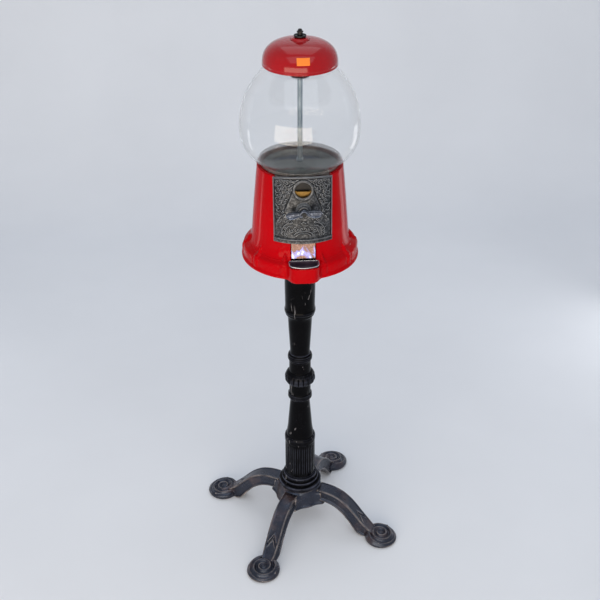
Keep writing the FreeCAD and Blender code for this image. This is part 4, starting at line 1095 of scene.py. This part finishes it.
def make_ledge_ring():
    """Worn edge of the hopper's flange, seen through the glass just inside its foot."""
    side = [(58.9, PLATFORM_TOP - 5.4), (59.8, PLATFORM_TOP - 5.4), (59.8, PLATFORM_TOP + 0.4),
            (59.3, PLATFORM_TOP + 0.9), (58.8, PLATFORM_TOP + 0.4)]
    turning("hopper_worn_edge", side + side[:2], 0.3, 128, "grey_casting", look="rusty_edge")


def make_gasket():
    g_low = low("globe_gasket").z
    g_high = high("globe_gasket").z
    side = [(59.9, g_low), (63.7, g_low), (63.7, g_high), (59.9, g_high)]
    turning("globe_gasket_moulded", side + side[:2], 0.7, 128, "rubber", "globe_gasket")


# ---- coin plate and handle ------------------------------------------------------------


def spiral(cx, cz, start, size, turns, sense, points=44):
    """Points of a scroll that winds inward."""
    out = []
    for k in range(points):
        t = k / (points - 1)
        radius = size * (1 - t) ** 0.9 + 0.3
        a = start + sense * turns * TAU * t
        out.append((cx + radius * math.cos(a), cz + radius * math.sin(a)))
    return out


def stem(*points):
    """Points of a curved stroke."""
    return smooth(points, 10)


# Height, width, and points as (x, height over the plate's lower edge).
LONG_STROKES = [
    # under the curls of the top edge
    (1.5, 0.8, (0.0, 97.6), (9.0, 98.6), (15.0, 96.0), (20.5, 90.0), (23.5, 83.0)),
    # leaves beside the window and the pad
    (1.7, 0.95, (23.0, 99), (29.0, 93.5), (32.0, 87)),
    (1.5, 0.85, (27.5, 99), (33.5, 92), (36.0, 85)),
    (1.6, 0.9, (29.0, 74), (33.0, 69), (34.0, 63)),
    # diagonal scrolls at the lower corners
    (1.7, 1.0, (22.0, 35), (28.0, 31), (32.5, 24), (34.0, 16)),
    (1.6, 0.9, (17.0, 31), (23.0, 29), (27.5, 23), (29.5, 15)),
    # low arched cartouche at the bottom middle
    (1.9, 0.95, (0.0, 21.6), (6.5, 21.2), (12.0, 18.8), (15.0, 15.4)),
    (1.5, 0.75, (0.0, 18.2), (5.5, 17.8), (9.6, 15.6), (12.0, 12.8)),
]


def filigree():
    """Right-hand half of the scrollwork as (points, height, width) strokes; x is 0 at the plate's middle."""
    b = PLATE_BOTTOM
    rng = random.Random(11)
    strokes = []

    def stroke(points, height, width):
        strokes.append((points, height, width))

    # small scrolls and leaves, packed close, over all the ground that the plain parts leave free
    for row, z in enumerate(np.arange(b + 15, b + 106, 5.3)):
        for x in np.arange(2.5 + (row % 2) * 2.6, 44.5, 5.2):
            x1 = x + rng.uniform(-1.0, 1.0)
            z1 = z + rng.uniform(-1.0, 1.0)
            if on_plain(x1, z1, 2.0) or x1 > 43.2:
                continue
            if z1 < b + 24 and x1 < 21 or rng.random() < 0.14:
                continue
            tall = 0.55 + 0.45 * math.sin(0.31 * x1 + 0.17 * z1) if z1 < b + 46 else 1.0
            start = rng.uniform(0, TAU)
            if rng.random() < 0.55:
                stroke(spiral(x1, z1, start, rng.uniform(1.9, 3.0), rng.uniform(0.7, 1.1),
                              rng.choice((-1, 1)), 20), tall * rng.uniform(1.2, 2.5), rng.uniform(0.72, 1.0))
            else:
                size = rng.uniform(1.6, 2.6)
                bend = rng.uniform(-1.3, 1.3)
                stroke(stem((x1 - size * math.cos(start), z1 - size * math.sin(start)), (x1, z1),
                            (x1 + size * math.cos(start + bend), z1 + size * math.sin(start + bend))),
                       tall * rng.uniform(1.2, 2.5), rng.uniform(0.75, 1.1))
    # row of bright curls along the top edge
    for x in np.arange(3.0, 36, 5.2):
        stroke(spiral(x, b + 101.6, 2.6, 2.3, 1.1, 1 if x < 12 else -1, 20), 2.4, 0.95)
    stroke(spiral(18.5, b + 22.5, 0.8, 3.4, 1.2, -1), 1.5, 0.85)
    for height, width, *points in LONG_STROKES:
        stroke(stem(*[(x, b + z) for x, z in points]), height, width)
    return strokes


def bell(z):
    """Half width of the plain pad between the window and the handle."""
    drop = np.clip((WINDOW_Z - z) / (WINDOW_Z - (PLATE_BOTTOM + 55)), 0, 1)
    return 15.5 + 13.0 * drop ** 1.1


def on_plain(x, z, margin):
    """Whether a place lies on the pad, the window ring, or the rounded ground under the handle."""
    if math.hypot(x, z - WINDOW_Z) < 16.8 + margin * 0.7:
        return True
    if PLATE_BOTTOM + 52 < z < WINDOW_Z and x < bell(z) + margin:
        return True
    return math.hypot(x, (z - SHAFT_Z) * 1.6) < 13.0 + margin


def plate_relief(x, z):
    """Height of the casting's face above its ground, for arrays of places on the plate."""
    height = np.zeros_like(x)
    mirrored = np.abs(x)
    for points, tall, wide in filigree():
        p = np.array(points)
        near = (mirrored > p[:, 0].min() - 3 * wide) & (mirrored < p[:, 0].max() + 3 * wide)
        near &= (z > p[:, 1].min() - 3 * wide) & (z < p[:, 1].max() + 3 * wide)
        if not near.any():
            continue
        d2 = ((mirrored[near][:, None] - p[None, :, 0]) ** 2 + (z[near][:, None] - p[None, :, 1]) ** 2).min(1)
        height[near] = np.maximum(height[near], tall * np.exp(-d2 / (2 * (wide * 0.62) ** 2)))
    b = PLATE_BOTTOM
    # bell-shaped pad from the window down to the handle
    wide = bell(z)
    on_pad = np.clip((wide - mirrored) / 1.0 + 0.5, 0, 1) * np.clip((z - (b + 53)) / 1.0, 0, 1)
    on_pad *= np.clip((WINDOW_Z + 2 - z) / 1.0, 0, 1)
    height = np.where(on_pad > 0.02, np.maximum(height * (1 - on_pad), 1.35 * on_pad), height)
    outline = np.exp(-((mirrored - wide - 1.4) / 0.6) ** 2) * (z > b + 52) * (z < WINDOW_Z - 2)
    height -= 0.6 * outline
    # rolled ring round the window
    ring = np.hypot(x, z - WINDOW_Z)
    bead = np.sqrt(np.clip(1 - ((ring - 14.7) / 2.3) ** 2, 0, 1))
    faded = height * np.clip((ring - 16.2) / 0.8, 0, 1)
    height = np.where(ring < 17.0, np.maximum(faded, 0.7 + 1.9 * bead), height)
    # plain borders
    edge = np.minimum(PLATE_HALF - mirrored, plate_crown(mirrored) - z)
    border = 1.3 * np.clip(edge / 0.7, 0.2, 1) * np.clip((2.3 - edge) / 0.6, 0, 1)
    height = np.where(edge < 1.9, border, height)
    lip = np.clip((b + 8.4 - z) / 0.8, 0, 1)
    roll = 1.2 + 0.9 * np.exp(-((z - (b + 6.6)) / 1.1) ** 2) + 0.7 * np.exp(-((z - (b + 1.6)) / 1.2) ** 2)
    height = height * (1 - lip) + lip * roll * np.clip((z - b) / 1.0 + 0.2, 0, 1)
    groove = np.exp(-((z - (b + 9.3)) / 0.6) ** 2)
    return height - 0.5 * groove


def plate_crown(x):
    """Height of the plate's arched top edge."""
    return PLATE_TOP - (PLATE_TOP - PLATE_SHOULDER) * (x / PLATE_HALF) ** 2


def side_radius(z):
    """Radius of the body's side wall at a height."""
    heights = [q[1] for q in BODY_SIDE]
    radii = [q[0] for q in BODY_SIDE]
    return np.interp(z, heights, radii)


def make_plate():
    rows = 270
    cols = 232
    x, way = np.meshgrid(np.linspace(-PLATE_HALF, PLATE_HALF, cols), np.linspace(0, 1, rows))
    crown = PLATE_SHOULDER + (plate_crown(x) - PLATE_SHOULDER) * np.clip((way - 0.75) / 0.25, 0, 1)
    z = PLATE_BOTTOM + (crown - PLATE_BOTTOM) * way
    centre = np.hypot((x[:-1, :-1] + x[1:, 1:]) / 2, (z[:-1, :-1] + z[1:, 1:]) / 2 - WINDOW_Z)
    keep = centre > WINDOW_RADIUS
    used = np.zeros(x.shape, bool)
    gone = np.zeros(x.shape, bool)
    for di in (0, 1):
        for dj in (0, 1):
            used[di:rows - 1 + di, dj:cols - 1 + dj] |= keep
            gone[di:rows - 1 + di, dj:cols - 1 + dj] |= ~keep
    rim = used & gone
    ring = np.hypot(x, z - WINDOW_Z)
    scale = np.where(rim, WINDOW_RADIUS / np.maximum(ring, 1), 1.0)
    x = x * scale
    z = WINDOW_Z + (z - WINDOW_Z) * scale
    height = plate_relief(x.ravel(), z.ravel()).reshape(x.shape)
    inner = side_radius(z) + PLATE_GAP
    outer = inner + PLATE_THICKNESS + height
    front = np.stack([x, -np.sqrt(outer ** 2 - x ** 2), z], axis=-1)
    back = np.stack([x, -np.sqrt(inner ** 2 - x ** 2), z], axis=-1)
    boss = [(4.2, 2), (4.2, 11.4), (5.0, 12), (7.2, 12, 1), (8.4, 9.6, 1), (10.4, 8.6, 1), (11.2, 2)]
    boss = facing_front(lathe(rounded(boss, 0.8), 64, True), 0, -72.0, SHAFT_Z)
    inside = [facing_front(lathe([(1.6, 0), (3.2, 0), (3.2, depth), (1.6, depth)], 24, True), px, -57.0, pz)
              for px, pz, depth in ((-30.0, 664.0, 12.0), (30.0, 664.0, 12.0), (0.0, 653.6, 20.0))]
    piece("front_plate_cast", [slab(front, back, keep), boss] + inside, "frame", "pewter", ["front_plate"],
          sharp=75)


def wing(top, bottom, x_in, x_out):
    """Scooped wing between two edge lines: deep under the top one, running out to a lip at the lower one."""
    rows = 32
    cols = 34
    u = np.linspace(0, 1, cols)[None, :]
    v = np.linspace(0, 1, rows)[:, None]
    x = x_in + (x_out - x_in) * u + 0 * v
    upper = np.interp(u, np.linspace(0, 1, len(top)), top)
    lower = np.interp(u, np.linspace(0, 1, len(bottom)), bottom)
    tip = np.sqrt(np.clip(1 - np.clip((u - 0.86) / 0.14, 0, 1) ** 2, 0.02, 1))
    middle = (upper + lower) / 2
    half = (upper - lower) / 2 * tip
    z = middle + half * (2 * v - 1)
    lip = 1.3 * np.exp(-(v / 0.14) ** 2)
    slot = 4.2 * np.exp(-((v - 0.84) / 0.065) ** 2) * np.clip((0.97 - u) * 9, 0, 1)
    dish = (1.7 * v ** 0.8 * np.clip((0.97 - v) / 0.07, 0, 1) + slot) * np.clip(u * 4, 0, 1) * tip
    front = HANDLE_FRONT + 2.0 - lip + dish + 0 * x
    back = np.maximum(front + 2.2, HANDLE_FRONT + 5.6) + 0 * x
    f = np.stack([x, front, z + SHAFT_Z], axis=-1)
    b = np.stack([x, back, z + SHAFT_Z], axis=-1)
    return slab(f, b)


def make_handle():
    """Propeller-like handle: two scooped wings joined by a curling ridge over a round hub."""
    right = wing([3.2, 3.8, 4.2, 4.4, 4.0, 2.4], [-1.0, -4.6, -6.2, -6.8, -6.0, -3.0], 3.0, 28.0)
    left = wing([1.6, 2.2, 2.2, 2.0, 1.2, -0.6], [-2.6, -4.6, -6.8, -8.6, -8.4, -5.4], -3.0, -27.5)
    hub = rounded([(0, 0.8), (5.2, 0.8), (6.1, 2.1), (6.2, 6.5, 1.5), (5.4, 7.6, 0.6), (4.6, 7.4, 0.6),
                   (2.6, 4.6, 1), (0, 4.2)], 0.8)
    hub = [(0.78 * r, height) for r, height in hub]
    hub = facing_front(lathe(hub, 48), 0, HANDLE_FRONT + 12.6, SHAFT_Z)
    curl = [(-2.2, -2.0), (-3.6, -4.6), (-5.8, -4.2), (-6.2, -1.2), (-4.4, 2.0), (-0.6, 3.6), (3.2, 2.4),
            (6.6, -0.8), (10.0, -3.8), (14.5, -5.6)]
    path = [(x, HANDLE_FRONT + 1.3 + 0.06 * abs(x), SHAFT_Z + z) for x, z in smooth(curl, 6)]
    ridge = pipe(path, np.interp(np.linspace(0, 1, len(path)), [0, 0.2, 0.7, 1], [0.6, 1.2, 1.2, 0.7]))
    handle = piece("handle_cast", [right, left, hub, ridge], "handle_set", "handle_metal", ["handle"])
    fuse(handle, HANDLE_VOXEL)


def make_coin_seat():
    """Brass shelf in the lower half of the window, a little smaller than the opening."""
    angles = np.linspace(TAU / 2, TAU, 20)
    outline = [(10.6 * math.cos(a), 5.8 * math.sin(a)) for a in angles]
    front = low("coin_seat").y
    bar = facing_front(prism(outline, 0, 3.0, 0.5), 0, front + 3.0, WINDOW_Z - 0.9)
    flange_angles = np.linspace(TAU / 2 + 0.06, TAU - 0.06, 24)
    flange = [(15.6 * math.cos(a), 15.4 * math.sin(a)) for a in flange_angles]
    back = high("coin_seat").y
    backing = facing_front(prism(flange, 0, 1.2, 0.2), 0, back, WINDOW_Z - 1.8)
    piece("coin_seat_brass", [bar, backing], "frame", "brass", ["coin_seat"])


# ---- the rest of the set ----------------------------------------------------------------


def make_flap():
    """Plated door that hangs from a slim barrel and leans out, with a shallow dished panel."""
    half = high("chute_flap").x
    barrel_radius = 2.2
    axis = np.array([high("chute_flap").y - barrel_radius, high("chute_flap").z - barrel_radius])
    foot = np.array([low("chute_flap").y + 0.6, low("chute_flap").z + 0.2])
    down = foot - axis
    out = np.array([down[1], -down[0]]) / np.linalg.norm(down)
    rows = 26
    cols = 40

    def place(i, j):
        v = i / (rows - 1)
        u = j / (cols - 1) * 2 - 1
        dish = 0.22 * math.cos(u * 2.2) * math.sin(v * 3.0)
        middle = foot - down * v
        return (u * half, *(middle + out * (0.5 - dish))), (u * half, *(middle - out * 0.5))

    panel = sheet(rows, cols, place)
    barrel, faces = lathe([(1.3, -half), (2.1, -half), (2.1, half), (1.3, half)], 28, True)
    barrel = np.column_stack([barrel[:, 2], barrel[:, 0] + axis[0], barrel[:, 1] + axis[1]])
    piece("chute_flap_door", [panel, (barrel, faces)], "flap", "chrome", ["chute_flap"])


# ---- camera, floor and light --------------------------------------------------------------

# Standing eye height, a metre and a half in front, a little to the left, looking down. Metres and degrees.
CAMERA_DISTANCE = 1.4833
CAMERA_HEIGHT = 1.3845
CAMERA_DOWN = 31.21
CAMERA_SIDE = -4.0
CAMERA_LENS = 61.0
SENSOR_WIDTH = 36.0

WALL_START = 1.2
WALL_BEND = 0.9
# The floor lies this far under the feet.
FLOOR_DROP = 0.0006
FLOOR_TONES = [(0.3, (0.76, 0.775, 0.81)), (0.7, (0.79, 0.805, 0.84))]
WORLD_COLOUR = (0.80, 0.86, 0.95, 1)
WORLD_STRENGTH = 0.54
# Name, place, target, width, height, watts, colour.
LAMPS = [
    ("front_card", (-0.60, -2.05, 0.62), (0, 0, 0.78), 2.9, 1.0, 36, (1.0, 0.86, 0.68)),
    ("sky", (0.0, -1.5, 3.1), (0, 0, 0.6), 3.4, 2.2, 25, (0.88, 0.94, 1.0)),
    ("top", (0.1, 0.9, 2.9), (0, 0, 0.5), 1.8, 1.8, 9, (0.93, 0.96, 1.0)),
    ("left_strip", (-1.11, 0.45, 0.26), (0, 0, 0.5), 0.12, 0.44, 0.4, (1, 1, 1)),
    ("right_strip", (1.04, 0.60, 0.26), (0, 0, 0.5), 0.34, 0.44, 0.9, (1, 1, 1)),
]


def make_camera():
    camera = bpy.data.cameras.new("camera")
    camera.sensor_width = SENSOR_WIDTH
    camera.lens = CAMERA_LENS
    obj = new_object("camera", camera)
    side = math.radians(CAMERA_SIDE)
    obj.location = (CAMERA_DISTANCE * math.sin(side), -CAMERA_DISTANCE * math.cos(side), CAMERA_HEIGHT)
    obj.rotation_euler = (math.radians(90 - CAMERA_DOWN), 0, side)
    bpy.context.scene.camera = obj


def area_light(name, place, target, width, height, watts, colour):
    """Lamp that is hidden from rays through the glass, so that it doesn't show in the globe."""
    light = bpy.data.lights.new(name, "AREA")
    light.shape = "RECTANGLE"
    light.size = width
    light.size_y = height
    light.energy = watts
    light.color = colour
    obj = new_object(name, light)
    obj.location = place
    obj.rotation_euler = (Vector(target) - obj.location).to_track_quat("-Z", "Y").to_euler()
    obj.visible_transmission = False


def make_floor():
    """Sheet that lies under the feet and curves up into a wall behind."""
    curve = [(WALL_START + WALL_BEND * math.sin(t), WALL_BEND - WALL_BEND * math.cos(t))
             for t in np.linspace(0.1, TAU / 4, 14)]
    points = []
    for y, z in [(-3.0, 0.0), (WALL_START, 0.0)] + curve + [(WALL_START + WALL_BEND, 4.0)]:
        points += [(-4.0, y, z - FLOOR_DROP), (4.0, y, z - FLOOR_DROP)]
    faces = [(k, k + 1, k + 3, k + 2) for k in range(0, len(points) - 2, 2)]
    mesh = bpy.data.meshes.new("floor")
    mesh.from_pydata(points, [], faces)
    shade_smooth(mesh)
    n = Nodes("floor_paper")
    n.set(Base_Color=n.ramp(n.noise(3, 3), FLOOR_TONES), Roughness=0.7)
    mesh.materials.append(n.material)
    floor = new_object("floor", mesh)


def make_studio():
    make_floor()
    world = bpy.data.worlds.new("studio")
    world.use_nodes = True
    background = world.node_tree.nodes["Background"]
    background.inputs["Color"].default_value = WORLD_COLOUR
    background.inputs["Strength"].default_value = WORLD_STRENGTH
    bpy.context.scene.world = world
    bpy.context.scene.view_settings.view_transform = "Standard"
    for lamp in LAMPS:
        area_light(*lamp)


# ---- build --------------------------------------------------------------------------------

make_camera()
make_studio()
dress_cad_nodes()
make_legs()
make_hub()
make_base_ring()
make_lower_column()
make_knop()
make_upper_column()
make_body()
make_cup()
make_flap()
make_globe()
make_tube()
make_rod()
make_hopper()
make_ledge_ring()
make_gasket()
make_lid()
make_lid_hardware()
make_sticker()
make_plate()
make_handle()
make_coin_seat()
